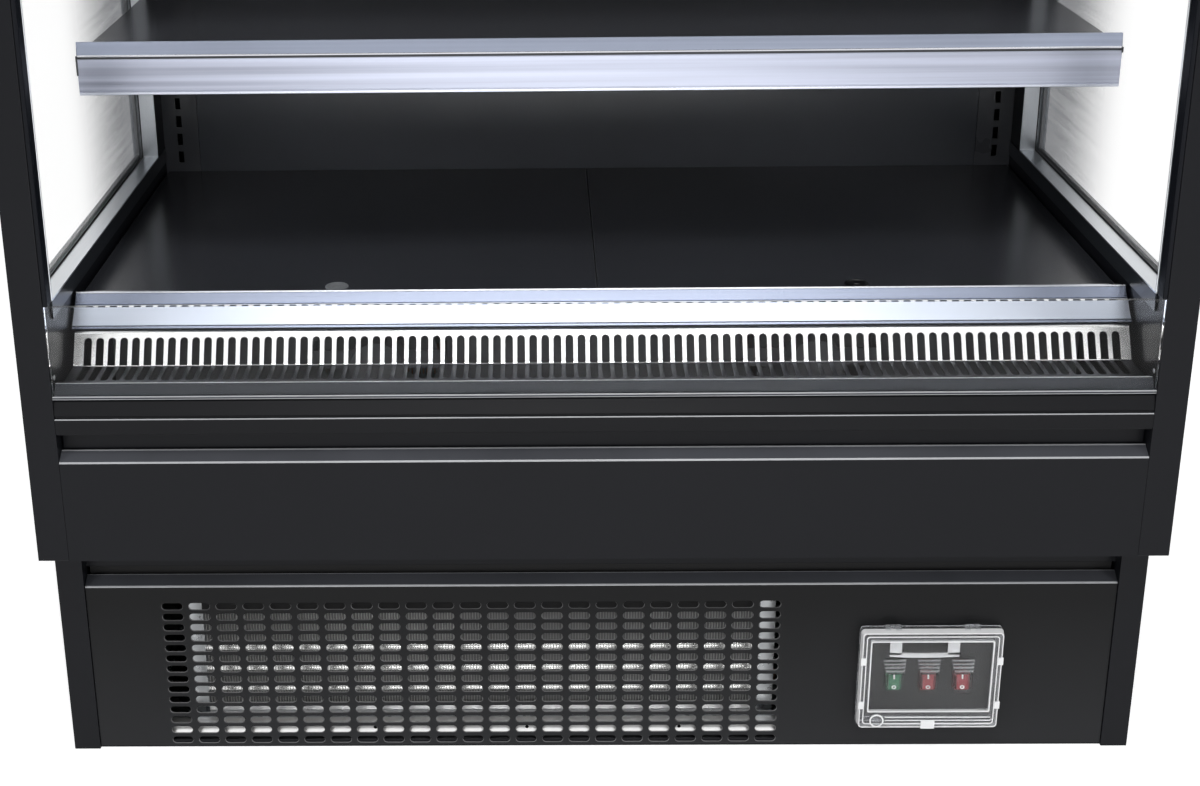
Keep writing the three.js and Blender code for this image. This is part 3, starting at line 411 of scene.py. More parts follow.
# ---- Levelling feet ----
# A rubber pad on a zinc plated stud at each corner. The stud is screwed through the corner plate
# of the base frame and held by a lock nut.
rubber = finish("foot_rubber", (0.018, 0.018, 0.019), 0.75, grain_size=0.0008, grain_depth=0.3)
zinc = finish("zinc_plate", (0.62, 0.63, 0.66), 0.32, metallic=1, drift=0.3, grain_depth=0.05)
PAD_TOP = 0.0092
PAD_PROFILE = ((0, 0), (0.0165, 0), (0.018, 0.0012), (0.018, 0.0048), (0.0168, 0.0064),
               (0.0120, 0.0080), (0.0070, 0.0080), (0.0062, PAD_TOP), (0, PAD_TOP))
THREAD_RADIUS, THREAD_DEPTH, THREAD_PITCH = 0.005, 0.0006, 0.00125
NUT_RADIUS, NUT_LOW, NUT_HIGH = 0.0082, 0.0093, 0.0132


def turned(profile, centre, axis="z", steps=32, shell=None, mark=0):
    """A solid of revolution from (radius, height) points, closed at both ends."""
    shell = shell or bmesh.new()
    rings = []
    for radius, rise in profile:
        ring = []
        for step in range(steps if radius > 1e-7 else 1):
            turn = 2 * math.pi * step / steps
            a, b = radius * math.cos(turn), radius * math.sin(turn)
            offset = {"z": (a, b, rise), "y": (a, rise, -b), "x": (rise, a, b)}[axis]
            ring.append(shell.verts.new(Vector(centre) + Vector(offset)))
        rings.append(ring)
    faces = []
    for low, high in zip(rings, rings[1:]):
        for step in range(steps):
            following = (step + 1) % steps
            corners = []
            for vert in (low[step % len(low)], low[following % len(low)],
                         high[following % len(high)], high[step % len(high)]):
                if vert not in corners:
                    corners.append(vert)
            if len(corners) > 2:
                faces.append(shell.faces.new(corners))
    for ring in (rings[0], rings[-1]):
        if len(ring) > 2:
            faces.append(shell.faces.new(ring))
    for face in faces:
        face.material_index = mark
    bmesh.ops.recalc_face_normals(shell, faces=faces)
    return shell


for place in ("front_left", "front_right", "rear_left", "rear_right"):
    foot_node = f"levelling_foot_{place}"
    low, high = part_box(foot_node)
    middle = ((low.x + high.x) / 2, (low.y + high.y) / 2, 0)
    foot_shell = turned(PAD_PROFILE, middle)
    thread = [(0, PAD_TOP - 0.0004)]
    for turn in range(int((high.z - PAD_TOP - THREAD_DEPTH) / THREAD_PITCH)):
        rise = PAD_TOP + turn * THREAD_PITCH
        thread += [(THREAD_RADIUS - THREAD_DEPTH, rise), (THREAD_RADIUS, rise + THREAD_PITCH / 2)]
    thread += [(THREAD_RADIUS - 0.0008, high.z - 0.0003), (0, high.z)]
    turned(thread, middle, steps=16, shell=foot_shell, mark=1)
    turned(((0, NUT_LOW), (NUT_RADIUS, NUT_LOW), (NUT_RADIUS, NUT_HIGH), (0, NUT_HIGH)), middle,
           steps=6, shell=foot_shell, mark=1)
    dressed(f"foot_{place}_screwed", foot_shell, f"foot_{place}", "foot_rubber", rubber, zinc,
            node_name=foot_node)


# ---- Kick panel ----
# A folded sheet between the front columns. Its left side is punched with rows of long slots for
# the condenser's air, and its right side carries the switches. Towards the floor its coat is
# painted paler, as light bounced up from the floor.
SLOT_COLUMNS, SLOT_ROWS = 23, 14
SLOT_PITCH = (0.02765, 0.0121)
SLOT_SIZE = (0.0215, 0.0080)
SLOT_FIRST = (-0.43475, 0.0095)
ROUND_END = 0.499  # a slot's corner radius as a share of its width
KICK_FACE = FRONT_Y + 0.052
KICK_HALF = 0.5215
FLOOR_BOUNCE_STRENGTH, FLOOR_BOUNCE_TOP = 3.4, 0.17


def geometry_tree(name, inputs):
    """A Geometry Nodes tree that takes and gives a mesh, with named inputs."""
    tree = bpy.data.node_groups.new(name, "GeometryNodeTree")
    tree.interface.new_socket("Geometry", in_out="INPUT", socket_type="NodeSocketGeometry")
    for label, value in inputs.items():
        kind = {int: "NodeSocketInt", float: "NodeSocketFloat", tuple: "NodeSocketVector",
                type(None): "NodeSocketMaterial"}[type(value)]
        socket = tree.interface.new_socket(label, in_out="INPUT", socket_type=kind)
        if value is not None:
            socket.default_value = value
    tree.interface.new_socket("Geometry", in_out="OUTPUT", socket_type="NodeSocketGeometry")
    return tree, tree.nodes.new("NodeGroupInput"), tree.nodes.new("NodeGroupOutput")


def run_tree(piece, tree, **values):
    """Puts a tree on a piece as a modifier with these input values, by socket identifier."""
    modifier = piece.modifiers.new(tree.name, "NODES")
    modifier.node_group = tree
    for item in tree.interface.items_tree:
        if item.in_out == "INPUT" and item.name in values:
            modifier[item.identifier] = values[item.name]
    return piece


# Rows of punched slots: cutters on a grid, turned to the sheet and taken out of it.
punch, p_in, p_out = geometry_tree("punched slots", {
    "Columns": 1, "Rows": 1, "Pitch Across": 0.02, "Pitch Up": 0.02, "Length": 0.02,
    "Width": 0.008, "Corner": 0.004, "Depth": 0.004, "Edge": 0.0004, "Centre": (0.0, 0.0, 0.0),
    "Turn": (0.0, 0.0, 0.0), "Cut": None})
size = p_in.outputs


def span(count, pitch):
    """How far it is from a row's first slot to its last."""
    return maths(punch, "MULTIPLY", maths(punch, "SUBTRACT", count, 1), pitch)


grid = node(punch, "GeometryNodeMeshGrid", {
    "Size X": span(size["Columns"], size["Pitch Across"]),
    "Size Y": span(size["Rows"], size["Pitch Up"]),
    "Vertices X": size["Columns"], "Vertices Y": size["Rows"]})
oblong = node(punch, "GeometryNodeCurvePrimitiveQuadrilateral",
              {"Width": size["Length"], "Height": size["Width"]})
rounded = node(punch, "GeometryNodeFilletCurve", {
    "Curve": oblong.outputs["Curve"], "Radius": size["Corner"], "Limit Radius": True,
    "Count": 4}, mode="POLY")
blank = node(punch, "GeometryNodeFillCurve", {"Curve": rounded.outputs["Curve"]}, mode="NGONS")
drop = node(punch, "ShaderNodeCombineXYZ", {"Z": maths(punch, "MULTIPLY", size["Depth"], -1)})
base = node(punch, "GeometryNodeTransform", {
    "Geometry": blank.outputs["Mesh"], "Translation": drop.outputs["Vector"]})
shank = node(punch, "GeometryNodeExtrudeMesh", {
    "Mesh": base.outputs["Geometry"], "Individual": False,
    "Offset Scale": maths(punch, "SUBTRACT", size["Depth"], size["Edge"])})
flare = node(punch, "GeometryNodeExtrudeMesh", {
    "Mesh": shank.outputs["Mesh"], "Selection": shank.outputs["Top"], "Individual": False,
    "Offset Scale": maths(punch, "MULTIPLY", size["Edge"], 2)})
widened = maths(punch, "MULTIPLY_ADD", maths(punch, "DIVIDE", size["Edge"], size["Length"]), 3, 1)
flared = node(punch, "GeometryNodeScaleElements", {
    "Geometry": flare.outputs["Mesh"], "Selection": flare.outputs["Top"], "Scale": widened})
underside = node(punch, "GeometryNodeFlipFaces", {"Mesh": base.outputs["Geometry"]})
cutter = node(punch, "GeometryNodeJoinGeometry", {0: flared.outputs["Geometry"]})
feed(punch, cutter, {0: underside.outputs["Mesh"]})
closed = node(punch, "GeometryNodeMergeByDistance",
              {"Geometry": cutter.outputs["Geometry"], "Distance": 1e-6})
marked = node(punch, "GeometryNodeStoreNamedAttribute", {
    "Geometry": closed.outputs["Geometry"], "Name": "punched", "Value": True},
    data_type="BOOLEAN", domain="FACE")
rows = node(punch, "GeometryNodeInstanceOnPoints",
            {"Points": grid.outputs["Mesh"], "Instance": marked.outputs["Geometry"]})
on_sheet = node(punch, "GeometryNodeTransform", {
    "Geometry": rows.outputs["Instances"], "Rotation": size["Turn"],
    "Translation": size["Centre"]})
cutters = node(punch, "GeometryNodeRealizeInstances", {"Geometry": on_sheet.outputs["Geometry"]})
pierced = node(punch, "GeometryNodeMeshBoolean", {
    "Mesh 1": size["Geometry"], "Mesh 2": cutters.outputs["Geometry"]},
    operation="DIFFERENCE", solver="MANIFOLD")
whole = node(punch, "GeometryNodeRealizeInstances", {"Geometry": pierced.outputs["Mesh"]})
walls = node(punch, "GeometryNodeInputNamedAttribute", {"Name": "punched"}, data_type="BOOLEAN")
painted = node(punch, "GeometryNodeSetMaterial", {
    "Geometry": whole.outputs["Geometry"], "Selection": walls.outputs["Attribute"],
    "Material": size["Cut"]})
feed(punch, p_out, {"Geometry": painted.outputs["Geometry"]})


def punched(piece, count, pitch, length, width, corner, depth, edge, turn, centre, cut):
    """Punches columns and rows of slots through a sheet, with their walls in the finish cut."""
    return run_tree(piece, punch, Columns=count[0], Rows=count[1], Length=length, Width=width,
                    Corner=corner, Depth=depth, Edge=edge, Turn=(turn, 0, 0), Centre=centre,
                    Cut=cut, **{"Pitch Across": pitch[0], "Pitch Up": pitch[1]})


def spread(tree, value, low, high, from_low=0.3, from_high=0.7):
    """A value between from_low and from_high brought to the range low to high."""
    return node(tree, "ShaderNodeMapRange", {
        "Value": value, "From Min": from_low, "From Max": from_high, "To Min": low,
        "To Max": high}).outputs["Result"]


def local(outline):
    """An outline measured in millimetres from the front plane, as frame [y, z] points."""
    return [(FRONT_Y + y / 1000, z / 1000) for y, z in outline]


def ledge_lightened(shell):
    """Marks the sloping ledge of a folded panel with the third material, a paler coat painted on as
    light.
    """
    for face in shell.faces:
        if face.material_index == 0 and face.normal.z > 0.7 and face.normal.y < -0.2:
            face.material_index = 2
    return shell


# Painted light: the slot walls are light grey, for the light caught by the sheet's thickness.
slot_wall_light = finish("slot_wall_light", (0.20, 0.20, 0.205), 0.35, drift=0.3)
# Painted light: a paler coat for the sloping ledges, which lie in the shade of the overhang.
ledge_light_coat = finish("ledge_light_coat", (0.055, 0.058, 0.068), 0.6, specular=0.3, drift=0.4)
kick_coat, tree, shader = finish_parts("kick_coat", (0.0056, 0.0058, 0.0064), COAT_ROUGHNESS,
                                       specular=COAT_SPECULAR)
# Painted light: the coat's colour is raised towards the floor in place of light bounced off it.
height = node(tree, "ShaderNodeSeparateXYZ", {0: object_place(tree)}).outputs["Z"]
painted_floor_bounce = node(tree, "ShaderNodeVectorMath", {
    0: shader.inputs["Base Color"].links[0].from_socket,
    "Scale": spread(tree, height, FLOOR_BOUNCE_STRENGTH, 1, 0, FLOOR_BOUNCE_TOP)}, operation="SCALE")
feed(tree, shader, {"Base Color": painted_floor_bounce.outputs[0]})

kick_outline = local(((52, 3), (52, 190), (66, 197.5), (66, 196), (53.5, 188.5), (53.5, 3)))
kick_shell = ledge_lightened(extruded(kick_outline, -KICK_HALF, KICK_HALF, edges=(1, 2), radius=0.0012))
kick = link_mesh("kick_panel_slotted", mesh_of(kick_shell, "kick_panel_slotted"), kick_coat,
                 edge_highlight, ledge_light_coat)
punched(kick, (SLOT_COLUMNS, SLOT_ROWS), SLOT_PITCH, *SLOT_SIZE, SLOT_SIZE[1] * ROUND_END, 0.004,
        0.0004, math.pi / 2, (SLOT_FIRST[0] + SLOT_PITCH[0] * (SLOT_COLUMNS - 1) / 2, KICK_FACE,
                              SLOT_FIRST[1] + SLOT_PITCH[1] * (SLOT_ROWS - 1) / 2), slot_wall_light)
fitted(settled(kick), "kick_panel", "kick_panel")


# ---- Switch box ----
# A clear plastic housing screwed over the switch opening, with a hinged lid that keeps water and
# hands off the switches. Its thick moulded rims look milky, the lid's rims and ribs are painted
# near white as highlights, and its flat faces are clear.
BOX_LEFT, BOX_RIGHT = 0.2655, 0.4095
BOX_LOW, BOX_HIGH = 0.0307, 0.1427
BOX_MIDDLE = (BOX_LEFT + BOX_RIGHT) / 2
LID_FACE = FRONT_Y + 0.0360
LID_BACK = FRONT_Y + 0.0437
RIM_BACK = FRONT_Y + 0.0517
RIM_SIDE, RIM_TOP, RIM_BOTTOM = 0.0105, 0.0115, 0.0200
HINGE_RISE, HINGE_SPREAD = 0.1452, 0.040  # the axis, and each hinge's distance from the middle
KNUCKLE_RADIUS, KNUCKLE_HALF, KNUCKLE_STEP = 0.0022, 0.0025, 0.0053
CLIP_RISES = (0.0580, 0.1090)
RIB_RISES = ((0.0355, 0.0368), (0.0395, 0.0404), (0.0432, 0.0441))
DOT_PITCH, DOT_SIZE = 0.0021, 0.0012
LATCH_X, LATCH_RISE = BOX_LEFT + 0.0195, BOX_LOW + 0.0095


def clear_plastic(name, colour, roughness, transmission, ior=1.49, relief_depth=0.12):
    """A moulded plastic that lets light through, with a slow waviness."""
    return marked_material(name, {"Transmission Weight": transmission, "IOR": ior}, colour,
                           roughness, 0.06, roughness * 0.6, 0.004, relief_depth)[0]


milky = clear_plastic("milky_polycarbonate", (0.93, 0.94, 0.96), 0.04, 0.96, 1.30)
box_clear = clear_plastic("clear_polycarbonate", (0.97, 0.975, 0.98), 0.0, 0.985, 1.12, 0.0)
# Painted highlight: a near white, nearly opaque plastic for the lid's rims, ribs and clips.
rim_highlight = clear_plastic("rim_painted_highlight", (0.97, 0.975, 0.99), 0.12, 0.10, 1.45)


def rounded_rectangle(x_low, x_high, z_low, z_high, corner, steps=4):
    """An [x, z] outline with round corners."""
    points = []
    for x, z, start in ((x_high - corner, z_high - corner, 0), (x_low + corner, z_high - corner, 90),
                        (x_low + corner, z_low + corner, 180), (x_high - corner, z_low + corner, 270)):
        for step in range(steps + 1):
            turn = math.radians(start + 90 * step / steps)
            points.append((x + corner * math.cos(turn), z + corner * math.sin(turn)))
    return points


def oval(x, z, half_width, half_height, count):
    """An [x, z] outline of an ellipse."""
    turns = [2 * math.pi * step / count for step in range(count)]
    return [(x + half_width * math.cos(turn), z + half_height * math.sin(turn)) for turn in turns]


def ring_solid(shell, levels, mark=0):
    """A closed frame swept through [y, outer points, inner points] levels, front to back."""
    loops = []
    for y, outer, inner in levels:
        loops.append(([shell.verts.new((x, y, z)) for x, z in outer],
                      [shell.verts.new((x, y, z)) for x, z in inner]))
    count = len(levels[0][1])
    faces = []
    for step in range(count):
        following = (step + 1) % count
        for (outer, inner), (next_outer, next_inner) in zip(loops, loops[1:]):
            faces.append(shell.faces.new((outer[step], outer[following],
                                          next_outer[following], next_outer[step])))
            faces.append(shell.faces.new((inner[following], inner[step],
                                          next_inner[step], next_inner[following])))
        for outer, inner in (loops[0], loops[-1]):
            faces.append(shell.faces.new((outer[step], outer[following],
                                          inner[following], inner[step])))
    for face in faces:
        face.material_index = mark
    bmesh.ops.recalc_face_normals(shell, faces=faces)
    return shell


def slab(shell, x, y, z, mark=0):
    """A closed box from its ranges."""
    corners = [shell.verts.new((a, b, c)) for a in x for b in y for c in z]
    faces = [shell.faces.new([corners[i] for i in ring]) for ring in (
        (0, 1, 3, 2), (4, 6, 7, 5), (0, 4, 5, 1), (2, 3, 7, 6), (0, 2, 6, 4), (1, 5, 7, 3))]
    for face in faces:
        face.material_index = mark
    bmesh.ops.recalc_face_normals(shell, faces=faces)
    return shell


def straight_ring(shell, y_low, y_high, outer, inner, mark=0):
    """A closed frame that keeps its outlines from front to back."""
    return ring_solid(shell, [(y_low, outer, inner), (y_high, outer, inner)], mark)


def rimmed(inset, corner=0.004):
    """The box's outline, drawn in by inset."""
    return rounded_rectangle(BOX_LEFT + inset, BOX_RIGHT - inset, BOX_LOW + inset,
                             BOX_HIGH - inset, corner)


def window_edge(inset=0.0, corner=0.0015):
    """The outline of the lid's clear window, drawn in by inset."""
    return rounded_rectangle(BOX_LEFT + RIM_SIDE + inset, BOX_RIGHT - RIM_SIDE - inset,
                             BOX_LOW + RIM_BOTTOM + inset, BOX_HIGH - RIM_TOP - inset, corner)


def hinge_bar(shell, x, radius, half, steps=16):
    """A short round bar on the lid's hinge axis."""
    turned(((0, x - half), (radius, x - half), (radius, x + half), (0, x + half)),
           (0, LID_BACK, HINGE_RISE), axis="x", steps=steps, shell=shell)


# The fixed housing: a double wall around the opening with a clear back plate and hinge pins.
housing = bmesh.new()
straight_ring(housing, LID_BACK + 0.0003, RIM_BACK - 0.0015, rimmed(0), rimmed(0.0018, 0.0025))
straight_ring(housing, LID_BACK + 0.0010, RIM_BACK - 0.0015, rimmed(0.0046, 0.003),
              rimmed(0.0062, 0.002))
slab(housing, (BOX_LEFT + 0.0012, BOX_RIGHT - 0.0012), (RIM_BACK - 0.0014, RIM_BACK),
     (BOX_LOW + 0.0012, BOX_HIGH - 0.0012), 1)
for side in (-1, 1):
    x = BOX_MIDDLE + side * HINGE_SPREAD
    hinge_bar(housing, x, KNUCKLE_RADIUS, KNUCKLE_HALF)
    hinge_bar(housing, x, 0.0010, 0.0075, 10)
    slab(housing, (x - KNUCKLE_HALF, x + KNUCKLE_HALF), (LID_BACK + 0.0004, LID_BACK + 0.003),
         (BOX_HIGH - 0.002, HINGE_RISE))
dressed("switch_housing", housing, "kick_panel", "clear_plastic", milky, box_clear,
        node_name="switch_box_base")

# The lid: stepped rims round a clear window, with hinge knuckles, side clips, ribs along its
# lower rim, a finger catch, a patch of grip dots and a round latch.
lid_shell = bmesh.new()
ring_solid(lid_shell, [(LID_FACE, rimmed(0.0012, 0.0035), rimmed(0.0022, 0.003)),
                       (LID_BACK, rimmed(0, 0.004), rimmed(0.0018, 0.003))], 2)
straight_ring(lid_shell, LID_FACE + 0.0006, LID_FACE + 0.0024, rimmed(0.0021, 0.003),
              window_edge())
straight_ring(lid_shell, LID_FACE + 0.0002, LID_FACE + 0.0008, rimmed(0.0050, 0.003),
              rimmed(0.0060, 0.0025), 2)
straight_ring(lid_shell, LID_FACE + 0.0001, LID_FACE + 0.0044, window_edge(-0.0010),
              window_edge(0.0002), 2)
slab(lid_shell, (BOX_LEFT + RIM_SIDE + 0.0003, BOX_RIGHT - RIM_SIDE - 0.0003),
     (LID_FACE + 0.0020, LID_FACE + 0.0032),
     (BOX_LOW + RIM_BOTTOM + 0.0003, BOX_HIGH - RIM_TOP - 0.0003), 1)
for side in (-1, 1):
    for beside in (-KNUCKLE_STEP, KNUCKLE_STEP):
        x = BOX_MIDDLE + side * HINGE_SPREAD + beside
        hinge_bar(lid_shell, x, KNUCKLE_RADIUS, KNUCKLE_HALF)
        slab(lid_shell, (x - KNUCKLE_HALF, x + KNUCKLE_HALF),
             (LID_BACK - 0.003, LID_BACK - 0.0003), (BOX_HIGH - 0.001, HINGE_RISE))
    for rise in CLIP_RISES:
        clip_x = (BOX_LEFT, BOX_LEFT + 0.0050) if side < 0 else (BOX_RIGHT - 0.0050, BOX_RIGHT)
        slab(lid_shell, clip_x, (LID_FACE - 0.0006, LID_FACE + 0.0016),
             (rise - 0.004, rise + 0.004), 2)
for rib in RIB_RISES:
    slab(lid_shell, (BOX_LEFT + 0.028, BOX_RIGHT - 0.008), (LID_FACE + 0.0001, LID_FACE + 0.0008),
         rib, 2)
slab(lid_shell, (BOX_MIDDLE - 0.007, BOX_MIDDLE + 0.007), (LID_FACE - 0.0012, LID_FACE + 0.0010),
     (BOX_LOW + 0.0004, BOX_LOW + 0.0090), 2)
for row in range(4):
    for column in range(7):
        x = BOX_MIDDLE + 0.034 + column * DOT_PITCH
        z = BOX_LOW + 0.0062 + row * DOT_PITCH
        slab(lid_shell, (x, x + DOT_SIZE), (LID_FACE - 0.0002, LID_FACE + 0.0008),
             (z, z + DOT_SIZE))
turned(((0, -0.0016), (0.0060, -0.0016), (0.0072, -0.0010), (0.0075, 0.0), (0.0075, 0.0012),
        (0, 0.0012)), (LATCH_X, LID_FACE + 0.0010, LATCH_RISE), axis="y", steps=36,
       shell=lid_shell)
slab(lid_shell, (LATCH_X - 0.0052, LATCH_X + 0.0052), (LID_FACE - 0.0011, LID_FACE),
     (LATCH_RISE - 0.0009, LATCH_RISE + 0.0009))
straight_ring(lid_shell, LID_FACE - 0.0010, LID_FACE - 0.0003,
              *(oval(LATCH_X, LATCH_RISE, radius, radius, 36) for radius in (0.0074, 0.0058)), 2)
dressed("switch_lid_hinged", lid_shell, "switch_box_lid", "clear_plastic", milky, box_clear,
        rim_highlight, node_name="switch_box_lid")

# The pull handle moulded behind the lid window: two ribbed legs and a bowed bar.
handle_grey = clear_plastic("handle_polycarbonate", (0.80, 0.81, 0.83), 0.2, 0.35, 1.4)
HANDLE_LEFT, HANDLE_RIGHT = 0.2950, 0.3655
HANDLE_LEG, HANDLE_TOP, HANDLE_LOW = 0.0120, 0.1308, 0.1130
HANDLE_RIBS, RIB_PITCH = 7, 0.0012
BAR_STEPS, BAR_HEIGHT, BAR_BOW = 12, 0.0048, 0.0012
handle_shell = bmesh.new()
for x in (HANDLE_LEFT, HANDLE_RIGHT - HANDLE_LEG):
    slab(handle_shell, (x, x + HANDLE_LEG), (LID_FACE + 0.0033, LID_FACE + 0.0047),
         (HANDLE_LOW + 0.0022, HANDLE_TOP))
    for rib in range(HANDLE_RIBS):
        z = HANDLE_TOP - 0.0008 - rib * RIB_PITCH
        slab(handle_shell, (x + 0.0008, x + HANDLE_LEG - 0.0008),
             (LID_FACE + 0.0047, LID_FACE + 0.0053), (z - 0.0006, z))
for step in range(BAR_STEPS):
    x_low = HANDLE_LEFT + (HANDLE_RIGHT - HANDLE_LEFT) * step / BAR_STEPS
    x_high = HANDLE_LEFT + (HANDLE_RIGHT - HANDLE_LEFT) * (step + 1) / BAR_STEPS + 0.00002
    middle = (step + 0.5) / BAR_STEPS * 2 - 1
    z = HANDLE_LOW - BAR_BOW * (1 - middle * middle)
    slab(handle_shell, (x_low, x_high), (LID_FACE + 0.0033, LID_FACE + 0.0050),
         (z, z + BAR_HEIGHT))
dressed("switch_lid_handle", handle_shell, "switch_box_lid", "clear_plastic", handle_grey)


# ---- Rocker switches ----
# Small rocker switches with a coloured key and bezel, white on and off marks, and a soft clear
# splash cap over each, with a stepped hood on top.
ROCKER_PITCH, ROCKER_HEIGHT = 0.0349, 0.0790
ROCKER_LEAN = math.radians(-10)
PLATE_FACE = FRONT_Y + 0.0502
CAP_FACE = PLATE_FACE - 0.0087
HOOD_STEPS, HOOD_RISE, HOOD_DEPTH = 4, 0.0032, 0.0016
KEY_PROFILE = ((0.0035, -0.0051), (-0.0042, -0.0083), (-0.0037, -0.0050), (-0.0024, 0.0),
               (-0.0037, 0.0050), (-0.0042, 0.0083), (0.0035, 0.0051))
mark_white = finish("mark_white", (0.85, 0.86, 0.86), 0.5)
cap_haze = clear_plastic("cap_haze", (0.9, 0.9, 0.92), 0.2, 0.7, 1.4)
cap_clear = clear_plastic("cap_clear", (0.96, 0.97, 0.97), 0.0, 1.0, 1.16, 0.0)


def coloured_key(name, colour):
    """A glossy coloured plastic that glows a little below its surface."""
    material, tree, shader = finish_parts(name, colour, 0.28, grain_size=0.0016, grain_depth=0.35)
    feed(tree, shader, {"Subsurface Weight": 0.25, "Subsurface Scale": 0.002, "Coat Weight": 0.4})
    return material


def about(x, half_width, half_height, corner):
    """A rounded outline about the middle of the rocker at x."""
    return rounded_rectangle(x - half_width, x + half_width, ROCKER_HEIGHT - half_height,
                             ROCKER_HEIGHT + half_height, corner)


key_green = coloured_key("key_green", (0.022, 0.175, 0.080))
key_red = coloured_key("key_red", (0.29, 0.015, 0.026))
bezel_green = coloured_key("bezel_green", (0.017, 0.115, 0.055))
bezel_red = coloured_key("bezel_red", (0.19, 0.010, 0.018))
for index, (name, slot, key, bezel) in enumerate((
        ("green", "green_plastic", key_green, bezel_green),
        ("red_middle", "red_plastic", key_red, bezel_red),
        ("red_right", "red_plastic", key_red, bezel_red))):
    x = BOX_MIDDLE + (index - 1) * ROCKER_PITCH
    key_shell = extruded(KEY_PROFILE, -0.0060, 0.0060)
    slab(key_shell, (-0.0008, 0.0008), (-0.0046, -0.0036), (0.0030, 0.0078), 1)
    straight_ring(key_shell, -0.0046, -0.0036, oval(0, -0.0058, 0.0025, 0.0020, 12),
                  oval(0, -0.0058, 0.0012, 0.0009, 12), 1)
    key_shell.transform(Matrix.Translation((x, PLATE_FACE, ROCKER_HEIGHT))
                        @ Matrix.Rotation(ROCKER_LEAN, 4, "X"))
    dressed(f"rocker_key_{name}", key_shell, f"rocker_{name}", slot, key, mark_white,
            node_name=f"rocker_{name}", soften=0.0004)

    bezel_shell = ring_solid(bmesh.new(), [
        (PLATE_FACE - 0.0016, about(x, 0.0080, 0.0102, 0.002), about(x, 0.0070, 0.0092, 0.0012)),
        (PLATE_FACE + 0.0200, about(x, 0.0086, 0.0108, 0.0024), about(x, 0.0068, 0.0090, 0.0010))])
    dressed(f"rocker_bezel_{name}", bezel_shell, "kick_panel", slot, bezel)

    cap_shell = ring_solid(bmesh.new(), [
        (CAP_FACE, about(x, 0.0090, 0.0112, 0.0035), about(x, 0.0064, 0.0086, 0.002)),
        (CAP_FACE + 0.0012, about(x, 0.0098, 0.0120, 0.0035), about(x, 0.0066, 0.0088, 0.002))])
    ring_solid(cap_shell, [
        (CAP_FACE + 0.0011, about(x, 0.0098, 0.0120, 0.0035), about(x, 0.0088, 0.0110, 0.0028)),
        (PLATE_FACE - 0.0003, about(x, 0.0101, 0.0124, 0.0030), about(x, 0.0091, 0.0114, 0.0024))])
    slab(cap_shell, (x - 0.0066, x + 0.0066), (CAP_FACE + 0.0002, CAP_FACE + 0.0010),
         (ROCKER_HEIGHT - 0.0088, ROCKER_HEIGHT + 0.0088))
    for hood in range(HOOD_STEPS):
        z = ROCKER_HEIGHT + 0.0126 + hood * HOOD_RISE
        y = CAP_FACE + hood * HOOD_DEPTH
        half = 0.0100 + hood * 0.0006
        slab(cap_shell, (x - half, x + half), (y + 0.0012, y + 0.0026), (z, z + 0.0031), 1)
        slab(cap_shell, (x - half + 0.0008, x + half - 0.0008), (y + 0.0007, y + 0.0011),
             (z + 0.0022, z + 0.0028), 2)
    dressed(f"rocker_cap_{name}_soft", cap_shell, "kick_panel", "clear_plastic", cap_clear, milky,
            cap_haze, node_name=f"rocker_cap_{name}")


# ---- Base tray ----
# A galvanised pan under the machine. Its front edge is folded into a bright hollow lip with a
# row of small holes, which shows through the second lowest row of slots.
galvanised, tree, shader = finish_parts("galvanised", (0.63, 0.65, 0.67), 0.30, metallic=1,
                                        drift=0.25, rub=0.15)
SPANGLES = 140  # crystals of the zinc along a metre
spangle = node(tree, "ShaderNodeTexVoronoi", {"Vector": object_place(tree), "Scale": SPANGLES})
spangle_red = node(tree, "ShaderNodeSeparateColor", {"Color": spangle.outputs["Color"]})
feed(tree, shader, {"Roughness": spread(tree, spangle_red.outputs["Red"], 0.24, 0.42, 0, 1)})
lip_white = finish("tray_lip", (0.97, 0.97, 0.965), 0.30, metallic=0.85, drift=0.03)

SHEET = 0.0015
LIP_DEPTH, LIP_LOW = 0.0119, 0.0112
LIP_HOLES, LIP_HOLE, LIP_HOLE_PITCH = 6, 0.0036, 0.159
tray_low, tray_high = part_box("base_tray")
tray_front = tray_low.y + LIP_DEPTH + 0.0001
tray_shell = slab(bmesh.new(), (tray_low.x, tray_high.x), (tray_front, tray_high.y),
                  (tray_low.z, tray_low.z + SHEET))
for x in (tray_low.x, tray_high.x - SHEET):
    slab(tray_shell, (x, x + SHEET), (tray_front, tray_high.y), (tray_low.z + SHEET, tray_high.z))
for y in (tray_front, tray_high.y - SHEET):
    slab(tray_shell, (tray_low.x + SHEET, tray_high.x - SHEET), (y, y + SHEET),
         (tray_low.z + SHEET, tray_high.z))
dressed("base_pan_folded", tray_shell, "cabinet", "galvanised", galvanised,
        node_name="base_tray")
lip_shell = extruded([(tray_low.y, LIP_LOW), (tray_low.y, tray_high.z),
                      (tray_low.y + LIP_DEPTH, tray_high.z), (tray_low.y + LIP_DEPTH, LIP_LOW)],
                     tray_low.x, tray_high.x, edges=(1,), radius=0.002)
lip = link_mesh("base_pan_lip", mesh_of(lip_shell, "base_pan_lip"), lip_white, lip_white)
# The hole walls take the black coat, painted shade inside the holes.
punched(lip, (LIP_HOLES, 1), (LIP_HOLE_PITCH, 0.01), LIP_HOLE, LIP_HOLE, 0.00179, 0.006, 0.0001,
        math.pi / 2, (0.005, tray_low.y, 0.0190), black_coat)
fitted(settled(lip), "cabinet")


